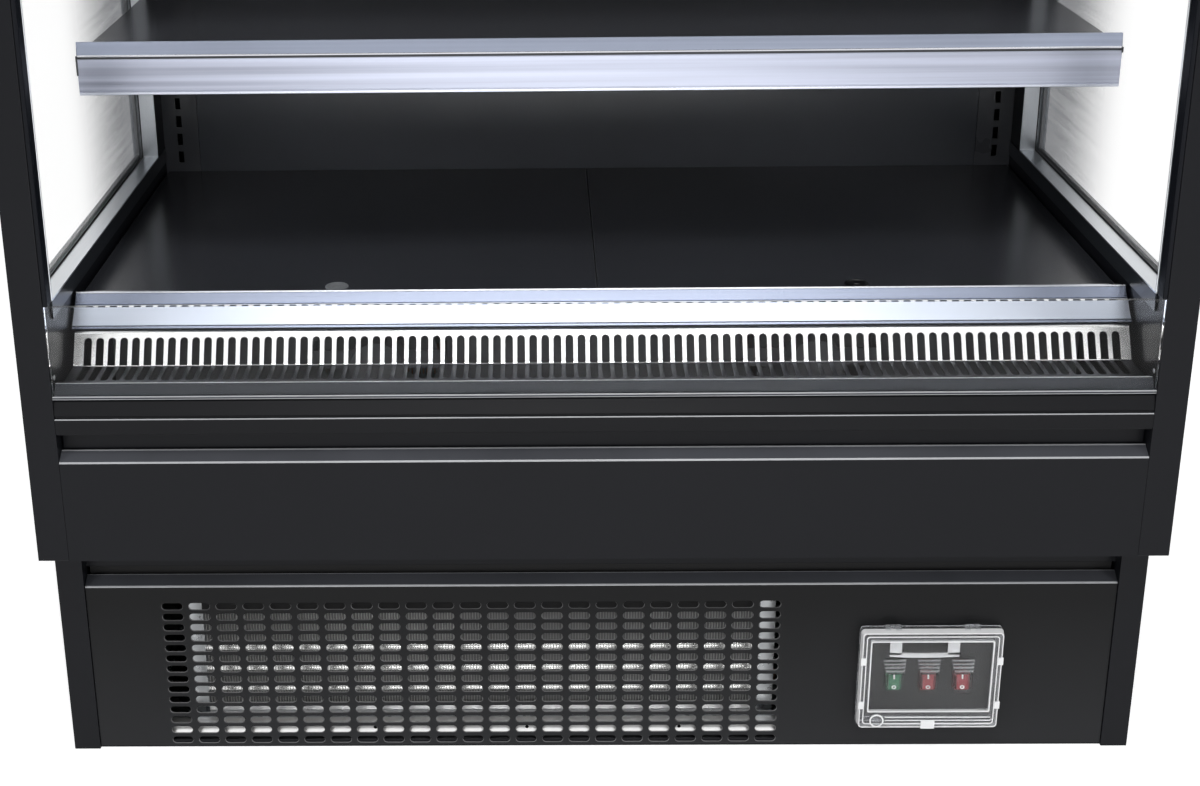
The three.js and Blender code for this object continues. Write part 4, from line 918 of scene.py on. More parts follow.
# ---- Condenser ----
# Aluminium fins on bright tubes between two galvanised end plates, with copper return bends
# outside the plates and a folded sill below, painted near white as light from the slots. It
# stands right behind the slots.
FIN_PITCH, FIN_THICKNESS = 0.0029, 0.0006
TUBE_PITCH, TUBE_RADIUS, FIRST_TUBE = 0.0245, 0.0048, 0.0478
PLATE_SHEET, PLATE_FLANGE = 0.002, 0.016
BEND_STEPS = 8
SILL_FOLDS = ((0, 0.0128), (0.0142, 0.0214), (0.0232, 0.0308))
SILL_LEAN = 0.25
fin_metal = finish("fin_aluminium", (0.46, 0.46, 0.455), 0.45, metallic=0.3, drift=0.6, rub=0.2,
                   grain_size=0.0006, grain_depth=0.3)
copper = finish("copper_tube", (0.62, 0.34, 0.22), 0.3, metallic=1, drift=0.4, rub=0.15)
tube_bright = finish("tube_bright", (0.97, 0.97, 0.96), 0.20, metallic=1, drift=0.05)
# Painted light: a near white, less metallic copy of the galvanised sill, for light through the slots.
sill_painted_light = finish("sill_painted_light", (0.97, 0.97, 0.98), 0.28, metallic=0.6, drift=0.05)
# Painted shade: a darker grey for the plate that stands in for the shaded depth between the fins.
coil_depth_shade = finish("coil_depth_painted_shade", (0.24, 0.24, 0.245), 0.6, drift=0.5)

# Copies in a row: the piece's own mesh repeated along a line.
repeat, r_in, r_out = geometry_tree("copies in a row", {
    "Count": 2, "Start": (0.0, 0.0, 0.0), "Step": (0.01, 0.0, 0.0), "Finish": None})
line = node(repeat, "GeometryNodeMeshLine", {
    "Count": r_in.outputs["Count"], "Start Location": r_in.outputs["Start"],
    "Offset": r_in.outputs["Step"]}, mode="OFFSET")
copies = node(repeat, "GeometryNodeInstanceOnPoints",
              {"Points": line.outputs["Mesh"], "Instance": r_in.outputs["Geometry"]})
one_mesh = node(repeat, "GeometryNodeRealizeInstances", {"Geometry": copies.outputs["Instances"]})
slot_number = node(repeat, "GeometryNodeInputMaterialIndex").outputs["Material Index"]
first_slot = node(repeat, "FunctionNodeCompare", {2: slot_number}, data_type="INT",
                  operation="EQUAL")
painted = node(repeat, "GeometryNodeSetMaterial", {
    "Geometry": one_mesh.outputs["Geometry"], "Selection": first_slot.outputs["Result"],
    "Material": r_in.outputs["Finish"]})
feed(repeat, r_out, {"Geometry": painted.outputs["Geometry"]})


def in_a_row(name, shell, count, start, step, *materials):
    """A small mesh repeated along a line, as one piece."""
    piece = link_mesh(name, mesh_of(shell, name), *materials)
    run_tree(piece, repeat, Count=count, Start=start, Step=step, Finish=materials[0])
    return settled(piece)


def swept(shell, points, radius, sides=10, mark=0):
    """A round bar or tube along points."""
    points = [Vector(point) for point in points]
    across, rings = None, []
    for index, point in enumerate(points):
        way = points[min(index + 1, len(points) - 1)] - points[max(index - 1, 0)]
        way.normalize()
        across = across or way.orthogonal()
        across = (across - way * across.dot(way)).normalized()
        beside = way.cross(across)
        rings.append([shell.verts.new(point + radius * (
            across * math.cos(2 * math.pi * side / sides)
            + beside * math.sin(2 * math.pi * side / sides))) for side in range(sides)])
    faces = [shell.faces.new(rings[0]), shell.faces.new(rings[-1])]
    for low, high in zip(rings, rings[1:]):
        for side in range(sides):
            following = (side + 1) % sides
            faces.append(shell.faces.new((low[side], low[following],
                                          high[following], high[side])))
    for face in faces:
        face.material_index = mark
    bmesh.ops.recalc_face_normals(shell, faces=faces)
    return shell


def finned(name, node_name, x, y, z, pitch):
    """A stack of thin upright fins that fills a box."""
    count = int((x[1] - x[0]) / pitch)
    start = x[0] + ((x[1] - x[0]) - (count - 1) * pitch) / 2
    fin = slab(bmesh.new(), (-FIN_THICKNESS / 2, FIN_THICKNESS / 2), y, z)
    fins = in_a_row(name, fin, count, (start, 0, 0), (pitch, 0, 0), fin_metal)
    fitted(fins, "cabinet", node_name)


coil_low, coil_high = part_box("condenser_coil")
CORE_LEFT, CORE_RIGHT = coil_low.x + PLATE_FLANGE, coil_high.x - PLATE_FLANGE
CORE_BOTTOM, CORE_TOP = 0.0238, 0.196
finned("condenser_fins", "condenser_coil", (CORE_LEFT, CORE_RIGHT),
       (coil_low.y + 0.0008, coil_high.y - 0.0008), (CORE_BOTTOM, CORE_TOP), FIN_PITCH)
coil_shell = slab(bmesh.new(), (CORE_LEFT, CORE_RIGHT), (coil_low.y + 0.0075, coil_low.y + 0.0083),
                  (CORE_BOTTOM, CORE_TOP), 3)  # a grey plate behind the fins' front edges, painted shade for the depth of the coil
for row, row_y in enumerate((coil_low.y + 0.0060, coil_low.y + 0.0330)):
    levels = [FIRST_TUBE + TUBE_PITCH * (index + row * 0.5) for index in range(3 + row * 3)]
    for level_z in levels:
        swept(coil_shell, [(CORE_LEFT - 0.004, row_y, level_z),
                           (CORE_RIGHT + 0.004, row_y, level_z)], TUBE_RADIUS, 14, 1)
    for end, out in ((CORE_LEFT - 0.002, -1), (CORE_RIGHT + 0.002, 1)):
        for low_z in levels[(0 if out > 0 else 1):len(levels) - 1:2]:
            bend = [(end, row_y, low_z)]
            for step in range(BEND_STEPS + 1):
                turn = math.pi * step / BEND_STEPS - math.pi / 2
                bend.append((end + out * (0.001 + TUBE_PITCH / 2 * math.cos(turn)), row_y,
                             low_z + TUBE_PITCH / 2 * (1 + math.sin(turn))))
            bend.append((end, row_y, low_z + TUBE_PITCH))
            swept(coil_shell, bend, TUBE_RADIUS, 10, 2)
for edge, out in ((CORE_LEFT, -1), (CORE_RIGHT, 1)):
    slab(coil_shell, sorted((edge, edge + out * PLATE_SHEET)), (coil_low.y, coil_high.y),
         (coil_low.z, coil_high.z))
    slab(coil_shell, sorted((edge + out * PLATE_SHEET, edge + out * PLATE_FLANGE)),
         (coil_low.y, coil_low.y + PLATE_SHEET), (coil_low.z, coil_high.z))
for low_z, high_z in SILL_FOLDS:
    low_z = max(low_z, coil_low.z)
    slab(coil_shell, (CORE_LEFT, CORE_RIGHT), (coil_low.y - 0.0004, coil_low.y + 0.0035),
         (low_z, high_z), 4)
    coil_shell.verts.ensure_lookup_table()
    for vertex in coil_shell.verts[-8:]:  # the top of each fold leans back a little
        if vertex.co.z > low_z + 1e-6 and vertex.co.y < coil_low.y:
            vertex.co.y += SILL_LEAN * (high_z - low_z)
slab(coil_shell, (CORE_LEFT, CORE_RIGHT), (coil_low.y + 0.0036, coil_high.y),
     (CORE_BOTTOM - 0.0020, CORE_BOTTOM - 0.0004))
slab(coil_shell, (CORE_LEFT, CORE_RIGHT), (coil_low.y, coil_high.y),
     (CORE_TOP + 0.0003, CORE_TOP + 0.0015))
dressed("condenser_tubes", coil_shell, "cabinet", "galvanised", galvanised, tube_bright, copper,
        coil_depth_shade, sill_painted_light, node_name="condenser_coil", sharp=40)


# ---- Condenser fan ----
# A black enamelled shroud closes the back of the coil. A five-bladed rotor turns in its ring,
# behind it a wire guard and a small motor on a strap.
FAN_CENTRE, FAN_REACH = (-0.121575, 0.1099), 0.074
GUARD_Y, GUARD_REACH = FRONT_Y + 0.1735, 0.076
GUARD_RINGS, GUARD_SPOKES, WIRE_RADIUS = 7, 4, 0.0011
BLADES, BLADE_OUT, BLADE_ALONG = 5, 5, 8  # blades, and the steps of each along and across
BLADE_HALF = 0.0007
enamel = finish("black_enamel", (0.008, 0.0085, 0.009), 0.28, drift=0.3, rub=0.12)
eased("condenser_fan_shroud", "condenser_shroud_pressed", "cabinet", "black_enamel", 0.0008,
      enamel)


def blade_point(share, swing, blade, span_y):
    """A blade's turn and rise where share runs from the hub to the tip and swing across it."""
    turn = blade * 2 * math.pi / BLADES + 0.22 * share + swing * (0.50 - 0.06 * share)
    return turn, span_y * (0.36 * swing * (1 - 0.3 * share) + 0.10 * (1 - swing * swing))


def rotor(name, node_name, body, slot, material, centre, reach):
    """A moulded rotor in a frame node's box: a domed hub and twisted, cambered blades."""
    low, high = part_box(node_name)
    middle_y = (low.y + high.y) / 2
    span_y = high.y - low.y
    radius = min((high.z - low.z) / 2, reach)
    hub = radius * 22 / 74
    shell = turned([(hub * out, span_y * rise) for out, rise in (
        (0, -0.34), (0.55, -0.34), (0.9, -0.27), (1, -0.15), (1, 0.34), (0.8, 0.38), (0, 0.38))],
        (centre[0], middle_y, centre[1]), axis="y", steps=40)
    root = hub * 0.93
    for blade in range(BLADES):
        skins = []
        for skin in (-BLADE_HALF, BLADE_HALF):
            skins.append([])
            for out in range(BLADE_OUT + 1):
                share = out / BLADE_OUT
                r = root + (radius - root) * share
                line = []
                for along in range(BLADE_ALONG + 1):
                    turn, rise = blade_point(share, 2 * along / BLADE_ALONG - 1, blade, span_y)
                    line.append(shell.verts.new((centre[0] + r * math.cos(turn),
                                                 middle_y + rise + skin,
                                                 centre[1] + r * math.sin(turn))))
                skins[-1].append(line)
        faces = []
        for grid in skins:
            for near, far in zip(grid, grid[1:]):
                for along in range(BLADE_ALONG):
                    faces.append(shell.faces.new((near[along], near[along + 1],
                                                  far[along + 1], far[along])))
        front, back = skins
        edge = ([(0, i) for i in range(BLADE_ALONG)] + [(i, BLADE_ALONG) for i in range(BLADE_OUT)]
                + [(BLADE_OUT, i) for i in range(BLADE_ALONG, 0, -1)]
                + [(i, 0) for i in range(BLADE_OUT, 0, -1)])
        for (a, b), (c, d) in zip(edge, edge[1:] + edge[:1]):
            faces.append(shell.faces.new((front[a][b], front[c][d], back[c][d], back[a][b])))
        bmesh.ops.recalc_face_normals(shell, faces=faces)
    dressed(name, shell, body, slot, material, node_name=node_name, sharp=40)


rotor("condenser_rotor_moulded", "condenser_fan_rotor", "condenser_fan", "black_enamel", enamel,
      FAN_CENTRE, FAN_REACH)


def wire_guard(centre, y, reach, rings, spokes):
    """Concentric wire rings on radial wires."""
    shell = bmesh.new()
    for ring in range(rings):
        r = reach - ring * reach * 0.72 / rings
        swept(shell, [(centre[0] + r * math.cos(2 * math.pi * step / 48), y,
                       centre[1] + r * math.sin(2 * math.pi * step / 48))
                      for step in range(49)], WIRE_RADIUS, 6)
    for spoke in range(spokes):
        turn = 2 * math.pi * (spoke + 0.5) / spokes
        swept(shell, [(centre[0] + r * math.cos(turn), y + WIRE_RADIUS * 1.8,
                       centre[1] + r * math.sin(turn)) for r in (reach * 0.26, reach + 0.004)],
              WIRE_RADIUS, 6)
    return shell


dressed("condenser_fan_guard",
        wire_guard(FAN_CENTRE, GUARD_Y, GUARD_REACH, GUARD_RINGS, GUARD_SPOKES), "cabinet",
        "black_enamel", enamel, sharp=40)


# ---- Compressor ----
# A welded steel pot in black enamel on rubber mounts, with its discharge pipe running forward to
# the condenser's end plate, and a cover over its terminals.
COMPRESSOR_X, COMPRESSOR_Y, COMPRESSOR_R = -0.300, FRONT_Y + 0.390, 0.074
POT_PROFILE = ((0, 0), (0.62, 0.001), (0.80, 0.005), (0.92, 0.013), (0.985, 0.026), (1, 0.040),
               (1, 0.082), (1.038, 0.0825), (1.038, 0.0872), (1, 0.0880), (0.995, 0.118),
               (0.96, 0.136), (0.88, 0.149), (0.74, 0.158), (0.50, 0.163), (0.25, 0.1648),
               (0, 0.165))
MOUNT_PROFILE = ((0, 0.003), (0.009, 0.003), (0.0075, 0.010), (0.009, 0.017), (0, 0.024))
PIPE_RADIUS, PIPE_STEPS = 0.0040, 8
REAR_BEND, FRONT_BEND = 0.024, 0.020  # the pipe's bend radii
compressor_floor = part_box("compressor")[0].z
pot_z = compressor_floor + 0.015
pot = turned([(radius * COMPRESSOR_R, pot_z + rise) for radius, rise in POT_PROFILE],
             (COMPRESSOR_X, COMPRESSOR_Y, 0), steps=56)
slab(pot, (COMPRESSOR_X - 0.096, COMPRESSOR_X + 0.096),
     (COMPRESSOR_Y - 0.0518, COMPRESSOR_Y + 0.0518), (compressor_floor, compressor_floor + 0.003))
for x in (-1, 1):
    for y in (-1, 1):
        turned(MOUNT_PROFILE, (COMPRESSOR_X + x * 0.0444, COMPRESSOR_Y + y * 0.037,
                               compressor_floor), steps=20, shell=pot, mark=1)
slab(pot, (COMPRESSOR_X + 0.064, COMPRESSOR_X + 0.0885),
     (COMPRESSOR_Y - 0.028, COMPRESSOR_Y + 0.028), (pot_z + 0.062, pot_z + 0.122), 1)
pipe_z = pot_z + 0.1155
pipe_x = CORE_LEFT - 0.030
pipe_end = coil_low.y + 0.022
quarter = [math.pi / 2 * step / PIPE_STEPS for step in range(PIPE_STEPS)]
pipe = [(COMPRESSOR_X - 0.066, COMPRESSOR_Y)]
pipe += [(pipe_x + REAR_BEND * (1 - math.sin(turn)), COMPRESSOR_Y - REAR_BEND * (1 - math.cos(turn)))
         for turn in quarter]
pipe += [(pipe_x, COMPRESSOR_Y - REAR_BEND)]
pipe += [(pipe_x + FRONT_BEND * (1 - math.cos(turn)), pipe_end + FRONT_BEND * (1 - math.sin(turn)))
         for turn in quarter]
pipe += [(pipe_x + FRONT_BEND, pipe_end), (CORE_LEFT - 0.003, pipe_end)]
swept(pot, [(x, y, pipe_z) for x, y in pipe], PIPE_RADIUS, 14, 2)
dressed("compressor_pot", pot, "cabinet", "black_enamel", enamel, rubber, copper,
        node_name="compressor", sharp=35)

tray_grey = finish("tray_grey", (0.30, 0.32, 0.335), 0.5, drift=0.2, grain_depth=0.2)
eased("evaporation_tray", "evaporation_tray_moulded", "cabinet", "grey_plastic", 0.0012, tray_grey)
eased("control_box", "control_box_folded", "cabinet", "galvanised", 0.0010, galvanised)


# ---- Insulated body ----
# Foamed panels skinned in black coated sheet: floor, back, front wall and roof. The back is
# riveted along both sides, and the shaded air duct under the grille is painted pale grey as light.
RIVET_X, RIVET_Y = 0.505, 0.3488
RIVETS, FIRST_RIVET, RIVET_PITCH = 11, 0.340, 0.155
panel_skin = finish("panel_skin", (0.012, 0.0125, 0.014), 0.42, specular=0.4, drift=0.3,
                    rub=0.12)
# Painted light: a pale grey for the duct, which lies in deep shade under the grille.
duct_painted_light = finish("duct_painted_light", (0.30, 0.305, 0.325), 0.5, specular=0.3, drift=0.3)
for part in ("floor", "back", "front_wall", "roof"):
    panel = eased(f"body_{part}", f"body_{part}_skinned", "cabinet", "foamed_panel", 0.0015,
                  black_coat if part == "front_wall" else panel_skin, duct_painted_light)
    # The duct's faces take the pale grey painted as light.
    for face in panel.data.polygons:
        if (part == "floor" and face.normal.z > 0.5) or (
                part == "front_wall" and face.normal.y > 0.3):
            face.material_index = 1


def screw_head(radius, rise, axis):
    """A pan-head screw or rivet about the origin, out along an axis by rise."""
    return turned(((0, 0), (radius, 0), (radius, rise * 0.35), (radius * 0.86, rise * 0.72),
                   (radius * 0.55, rise * 0.95), (0, rise)), (0, 0, 0), axis=axis, steps=16)


for hand, side in (("left", -1), ("right", 1)):
    head = screw_head(0.0032, 0.0011, "z")
    head.transform(Matrix.Rotation(math.radians(-90), 4, "X"))
    rivets = in_a_row(f"back_rivets_{hand}", head, RIVETS, (side * RIVET_X, RIVET_Y, FIRST_RIVET),
                      (0, 0, RIVET_PITCH), zinc)
    fitted(rivets, "cabinet")


# ---- Side panels ----
# A foamed panel on each side, folded from black coated sheet round a large window opening. A
# dark plastic profile edges the inside of each front post above the guard.
post_dark = finish("post_profile", (0.0040, 0.0048, 0.0075), 0.5, specular=0.12)
PROFILE_DEPTH, PROFILE_BOTTOM, PROFILE_TOP = 0.0171, 0.5095, 1.858
for hand, side in (("left", -1), ("right", 1)):
    eased(f"side_panel_{hand}", f"side_panel_{hand}_folded", "cabinet", "black_steel", 0.0009,
          black_coat)
    profile = slab(bmesh.new(), sorted((side * 0.5155, side * 0.5199)),
                   (FRONT_Y + 0.0004, FRONT_Y + 0.0004 + PROFILE_DEPTH),
                   (PROFILE_BOTTOM, PROFILE_TOP))
    dressed(f"post_profile_{hand}", profile, "cabinet", "black_plastic", post_dark,
            soften=0.0012)


# ---- Front panel and bumper ----
# The folded front panel closes the body below the bumper. Its top edge slopes back into a shadow
# gap, and the bumper above it is a black plastic moulding with a groove along its middle.
HALF_WIDTH = 0.5197  # panels between the side panels
# Its top corners take the painted edge highlight, and its sloping ledge the paler coat painted as
# light.
front_outline = local(((0, 246.3), (0, 351.3), (14, 358.8), (17.7, 358.8), (17.7, 357.3),
                       (14, 357.3), (1.5, 349.8), (1.5, 247.8), (14, 247.8), (14, 246.3)))
front_shell = ledge_lightened(extruded(front_outline, -HALF_WIDTH, HALF_WIDTH, edges=(1, 2),
                              radius=0.0011))
dressed("front_panel_folded", front_shell, "cabinet", "black_steel", black_coat, edge_highlight,
        ledge_light_coat, node_name="front_panel")
bumper_black = finish("bumper_plastic", (0.0068, 0.0071, 0.0086), 0.36, specular=0.12, drift=0.2,
                      grain_size=0.0016)
# Painted highlight: a pale grey on the bumper's two rounded edges.
bumper_edge_highlight = finish("bumper_edge_highlight", (0.40, 0.41, 0.43), 0.3)
bumper_outline = local(((17.7, 379.8), (1.2, 379.8), (0, 381.6), (0, 396.3), (1.9, 397.2),
                        (1.9, 398.4), (0.8, 399.4), (2.9, 413.6), (5, 415.8), (17.7, 415.8)))
bumper_shell = extruded(bumper_outline, -HALF_WIDTH, HALF_WIDTH, edges=(3, 8), radius=0.0007)
dressed("bumper_moulded", bumper_shell, "cabinet", "black_plastic", bumper_black, bumper_edge_highlight,
        node_name="bumper")


# ---- Windows ----
# Each side window has two panes in a bright aluminium reveal, sealed by black gaskets, with a
# slate-coloured strip below its ledge. Its rear is tinted a streaked grey, a painted reflection.
brushed, b_in, b_out = effect_group(
    "brushed lines",
    {"Scale": (20.0, 2500.0, 2500.0), "Colour": (0.7, 0.7, 0.7, 1), "Roughness": 0.3,
     "Swing": 0.1, "Depth": 0.1, "Tint": 0.1},
    {"Colour": "NodeSocketColor", "Roughness": "NodeSocketFloat", "Normal": "NodeSocketVector"})
BRUSH_RELIEF = 0.0001
b_scaled = node(brushed, "ShaderNodeVectorMath",
                {0: object_place(brushed), 1: b_in.outputs["Scale"]}, operation="MULTIPLY")
b_noise = node(brushed, "ShaderNodeTexNoise",
               {"Vector": b_scaled.outputs[0], "Scale": 1, "Detail": 3}).outputs["Fac"]
b_centred = maths(brushed, "SUBTRACT", b_noise, 0.5)
b_colour = node(brushed, "ShaderNodeVectorMath", {
    0: b_in.outputs["Colour"],
    "Scale": maths(brushed, "MULTIPLY_ADD", b_centred, b_in.outputs["Tint"], 1)},
    operation="SCALE")
b_bump = node(brushed, "ShaderNodeBump", {
    "Height": b_noise, "Strength": b_in.outputs["Depth"], "Distance": BRUSH_RELIEF})
feed(brushed, b_out, {
    "Colour": b_colour.outputs[0], "Normal": b_bump.outputs["Normal"],
    "Roughness": maths(brushed, "MULTIPLY_ADD", b_centred, b_in.outputs["Swing"],
                       b_in.outputs["Roughness"])})


def brushed_metal(name, colour, roughness, scale, swing=0.1, depth=0.1, tint=0.2, metallic=1,
                  specular=0.5):
    """Metal with fine lines. Scale is how many lines a metre holds along X, Y and Z."""
    material = bpy.data.materials.new(name)
    tree = tree_of(material)
    lines = use_group(tree, brushed, Colour=(*colour, 1), Roughness=roughness, Scale=scale,
                      Swing=swing, Depth=depth, Tint=tint)
    feed(tree, tree.nodes["Principled BSDF"], {
        "Metallic": metallic, "Specular IOR Level": specular,
        "Base Color": lines.outputs["Colour"], "Roughness": lines.outputs["Roughness"],
        "Normal": lines.outputs["Normal"]})
    return material


reveal_metal = brushed_metal("reveal_aluminium", (0.74, 0.77, 0.80), 0.30, (900, 6, 900))
spacer_grey = finish("spacer_grey", (0.42, 0.43, 0.44), 0.5, metallic=0.3)
slate = finish("slate_strip", (0.016, 0.019, 0.023), 0.30)
gasket = finish("gasket_rubber", (0.004, 0.004, 0.0045), 0.6, grain_depth=0.2)

window_glass = bpy.data.materials.new("window_glass")
REFLECTION_REAR, REFLECTION_FADE = 0.155, -0.110  # frame y where the painted grey is full, and where it ends
REFLECTION_GREY = (0.47, 0.475, 0.485)
tree = tree_of(window_glass)
glass_place = object_place(tree)
# Painted reflection: the glass is tinted grey towards the rear, for the dark interior it mirrors at a
# grazing angle.
depth = node(tree, "ShaderNodeSeparateXYZ", {0: glass_place}).outputs["Y"]
painted_reflection = node(tree, "ShaderNodeMapRange",
            {"Value": depth, "From Min": REFLECTION_FADE, "From Max": REFLECTION_REAR},
            interpolation_type="SMOOTHSTEP")
streaks = spread(tree, noise(tree, glass_place, 0.006, 4, (1, 30, 1), 0.6), 0.80, 1.15)
streaked = node(tree, "ShaderNodeMath", {0: painted_reflection.outputs["Result"], 1: streaks},
                operation="MULTIPLY", use_clamp=True)
glass_reflection_tint = node(tree, "ShaderNodeMix", {
    "Factor": streaked.outputs[0], "A": (1, 1, 1, 1), "B": (*REFLECTION_GREY, 1)}, data_type="RGBA")
feed(tree, tree.nodes["Principled BSDF"], {
    "Transmission Weight": 1, "IOR": 1.02, "Base Color": glass_reflection_tint.outputs["Result"],
    "Roughness": spread(tree, noise(tree, glass_place, 0.2, 2), 0.0, 0.015)})

REVEAL_Y = (FRONT_Y + 0.030, FRONT_Y + 0.548)
REVEAL_Z = (0.5068, 1.860)
STRIP_Y = (REVEAL_Y[0] - 0.0015, FRONT_Y + 0.5967)
STRIP_Z = (0.4888, 0.5052)
SWAP_XY = Matrix(((0, 1, 0, 0), (1, 0, 0, 0), (0, 0, 1, 0), (0, 0, 0, 1)))


def side_ring(side, levels):
    """A frame round the window opening from [distance, outer inset, inner inset] levels."""
    def at(inset):
        return rounded_rectangle(REVEAL_Y[0] + inset, REVEAL_Y[1] - inset, REVEAL_Z[0] + inset,
                                 REVEAL_Z[1] - inset, 0.0015, 2)
    shell = ring_solid(bmesh.new(), [(side * x, at(outer), at(inner)) for x, outer, inner in levels])
    shell.transform(SWAP_XY)
    bmesh.ops.reverse_faces(shell, faces=shell.faces)
    return shell


for hand, side in (("left", -1), ("right", 1)):
    dressed(f"window_reveal_{hand}",
            side_ring(side, ((0.5182, -0.0012, 0.0004), (0.5188, -0.0015, 0.0),
                             (0.5492, -0.0015, 0.0), (0.5497, -0.0012, 0.0003))),
            "cabinet", "bright_aluminium", reveal_metal, node_name=f"window_trim_{hand}")
    strip = extruded([(STRIP_Y[0], STRIP_Z[0]), (STRIP_Y[0], STRIP_Z[1]),
                      (STRIP_Y[1], STRIP_Z[1]), (STRIP_Y[1], STRIP_Z[0])],
                     *sorted((side * 0.5182, side * 0.5197)))
    dressed(f"window_strip_{hand}", strip, "cabinet", "bright_aluminium", slate,
            node_name=f"window_trim_{hand}")
    dressed(f"window_gasket_{hand}",
            side_ring(side, ((0.5361, 0.0002, 0.0009), (0.5365, 0.0001, 0.0016),
                             (0.5370, 0.0001, 0.0016))), "cabinet", "black_plastic", gasket)
    dressed(f"pane_spacer_{hand}",
            side_ring(side, ((0.5411, 0.0006, 0.0040), (0.5449, 0.0006, 0.0040))),
            "cabinet", "bright_aluminium", spacer_grey)
    for layer in ("inner", "outer"):
        eased(f"{layer}_pane_{hand}", f"{layer}_pane_{hand}_ground", "cabinet", "window_glass",
              0.0005, window_glass)


# ---- Inner lining ----
# The inner back panel between two slotted uprights, all in a glossier black coat that takes soft
# reflections of the side windows.
LINING_SPECULAR = 0.42
interior = finish("interior_coat", (0.040, 0.042, 0.049), 0.24, specular=LINING_SPECULAR,
                  rub=0.06)
back_coat = finish("back_coat", (0.045, 0.050, 0.060), 0.26, specular=LINING_SPECULAR, rub=0.06)
upright_coat = finish("upright_coat", (0.058, 0.061, 0.070), 0.28, specular=LINING_SPECULAR)
slot_lip = finish("slot_lip", (0.055, 0.057, 0.062), 0.35)
eased("back_panel", "back_panel_folded", "cabinet", "black_steel", 0.0006, back_coat)
for hand in ("left", "right"):
    eased(f"upright_{hand}", f"upright_{hand}_punched", "cabinet", "black_steel", 0.0004,
          upright_coat, slot_lip, edge_material=1, segments=1)


# ---- Evaporator ----
# Under the deck: a finned coil with galvanised end plates, and two small fans in a zinc coated
# plate in front of it.
EVAPORATOR_FIN_PITCH, EVAPORATOR_HALF = 0.0042, 0.438
EVAPORATOR_ROWS, EVAPORATOR_LEVELS = 4, 5
SMALL_FAN_X, SMALL_FAN_Z, SMALL_FAN_REACH = 0.230, 0.3708, 0.062
evaporator_low, evaporator_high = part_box("evaporator_coil")
finned("evaporator_fins", "evaporator_coil", (-EVAPORATOR_HALF, EVAPORATOR_HALF),
       (evaporator_low.y + 0.004, evaporator_high.y - 0.004),
       (evaporator_low.z + 0.009, evaporator_low.z + 0.149), EVAPORATOR_FIN_PITCH)
evaporator_shell = bmesh.new()
for row in range(EVAPORATOR_ROWS):
    for level_index in range(EVAPORATOR_LEVELS):
        row_y = evaporator_low.y + 0.034 + row * 0.054
        level_z = evaporator_low.z + 0.024 + level_index * 0.027
        swept(evaporator_shell, [(-0.4419, row_y, level_z), (0.4419, row_y, level_z)],
              TUBE_RADIUS, 12, 1)
for side in (-1, 1):
    slab(evaporator_shell, sorted((side * 0.439, side * 0.441)),
         (evaporator_low.y, evaporator_high.y), (evaporator_low.z, evaporator_high.z))
dressed("evaporator_tubes", evaporator_shell, "cabinet", "galvanised", galvanised, copper,
        node_name="evaporator_coil", sharp=40)
plate_coat = finish("fan_plate_zinc", (0.42, 0.425, 0.45), 0.55, metallic=0.25, drift=0.2)
eased("evaporator_fan_plate", "evaporator_fan_plate_folded", "cabinet", "galvanised", 0.0005,
      plate_coat)
rotor_plastic = finish("rotor_plastic", (0.34, 0.345, 0.36), 0.45)
for hand, side in (("left", -1), ("right", 1)):
    rotor(f"evaporator_rotor_{hand}", f"evaporator_fan_rotor_{hand}", f"evaporator_fan_{hand}",
          "black_plastic", rotor_plastic, (side * SMALL_FAN_X, SMALL_FAN_Z), SMALL_FAN_REACH)


# ---- Deck ----
# Two folded pans in black coat lie over the evaporator with a narrow seam between them. Each has
# a round plastic plug pressed into a hole.
DECK_LEVEL = 0.4758
PLUG_PROFILE = ((0, -0.0008), (0.0112, -0.0008), (0.0120, 0.0002), (0.0110, 0.0011),
                (0.0090, 0.0013), (0.0086, 0.0007), (0.0040, 0.0007), (0.0036, 0.0013),
                (0, 0.0013))
plug_grey = finish("plug_grey", (0.17, 0.18, 0.19), 0.4, grain_depth=0.2)
plug_black = finish("plug_black", (0.002, 0.002, 0.003), 0.4, grain_depth=0.2)
deck_coat = finish("deck_coat", (0.031, 0.033, 0.039), 0.24, rub=0.06)
for hand, plug_place, plug in (("left", (-0.263, FRONT_Y + 0.153), plug_grey),
                               ("right", (0.2605, FRONT_Y + 0.151), plug_black)):
    eased(f"deck_pan_{hand}", f"deck_pan_{hand}_folded", f"deck_pan_{hand}", "black_steel",
          0.0006, deck_coat, slot_lip, edge_material=1)
    dressed(f"deck_plug_{hand}", turned(PLUG_PROFILE, (*plug_place, DECK_LEVEL)),
            f"deck_pan_{hand}", "black_plastic", plug, sharp=50)


# ---- Deck rail ----
# A sloping aluminium price rail along the front of the deck: a top edge painted light as a
# highlight, a bluish band, a wide ticket face between two grooves painted dark as shade, and a
# turned lower hem.
BRUSHED_ALONG = (5, 1400, 1400)  # lines that run along X
RAIL_HALF = 0.5172
RAIL_TOP = Vector((113, 485.8))
SLOPE = Vector((29, 28)).normalized()
OUTWARD = Vector((-28, 29)).normalized()
rail_metal = brushed_metal("rail_aluminium", (0.50, 0.54, 0.62), 0.30, BRUSHED_ALONG,
                           swing=0.08, depth=0.05, tint=0.12)
rail_edge_highlight = brushed_metal("rail_edge_highlight", (0.68, 0.70, 0.75), 0.22, BRUSHED_ALONG, depth=0.03)
rail_shade = finish("rail_shade", (0.03, 0.032, 0.036), 0.4)
rail_band = brushed_metal("rail_band", (0.30, 0.335, 0.43), 0.24, BRUSHED_ALONG, depth=0.03)


def on_slope(along, proud):
    """A [y, z] point in mm, measured down the slope from the rail's top edge."""
    return tuple(RAIL_TOP - SLOPE * along + OUTWARD * proud)


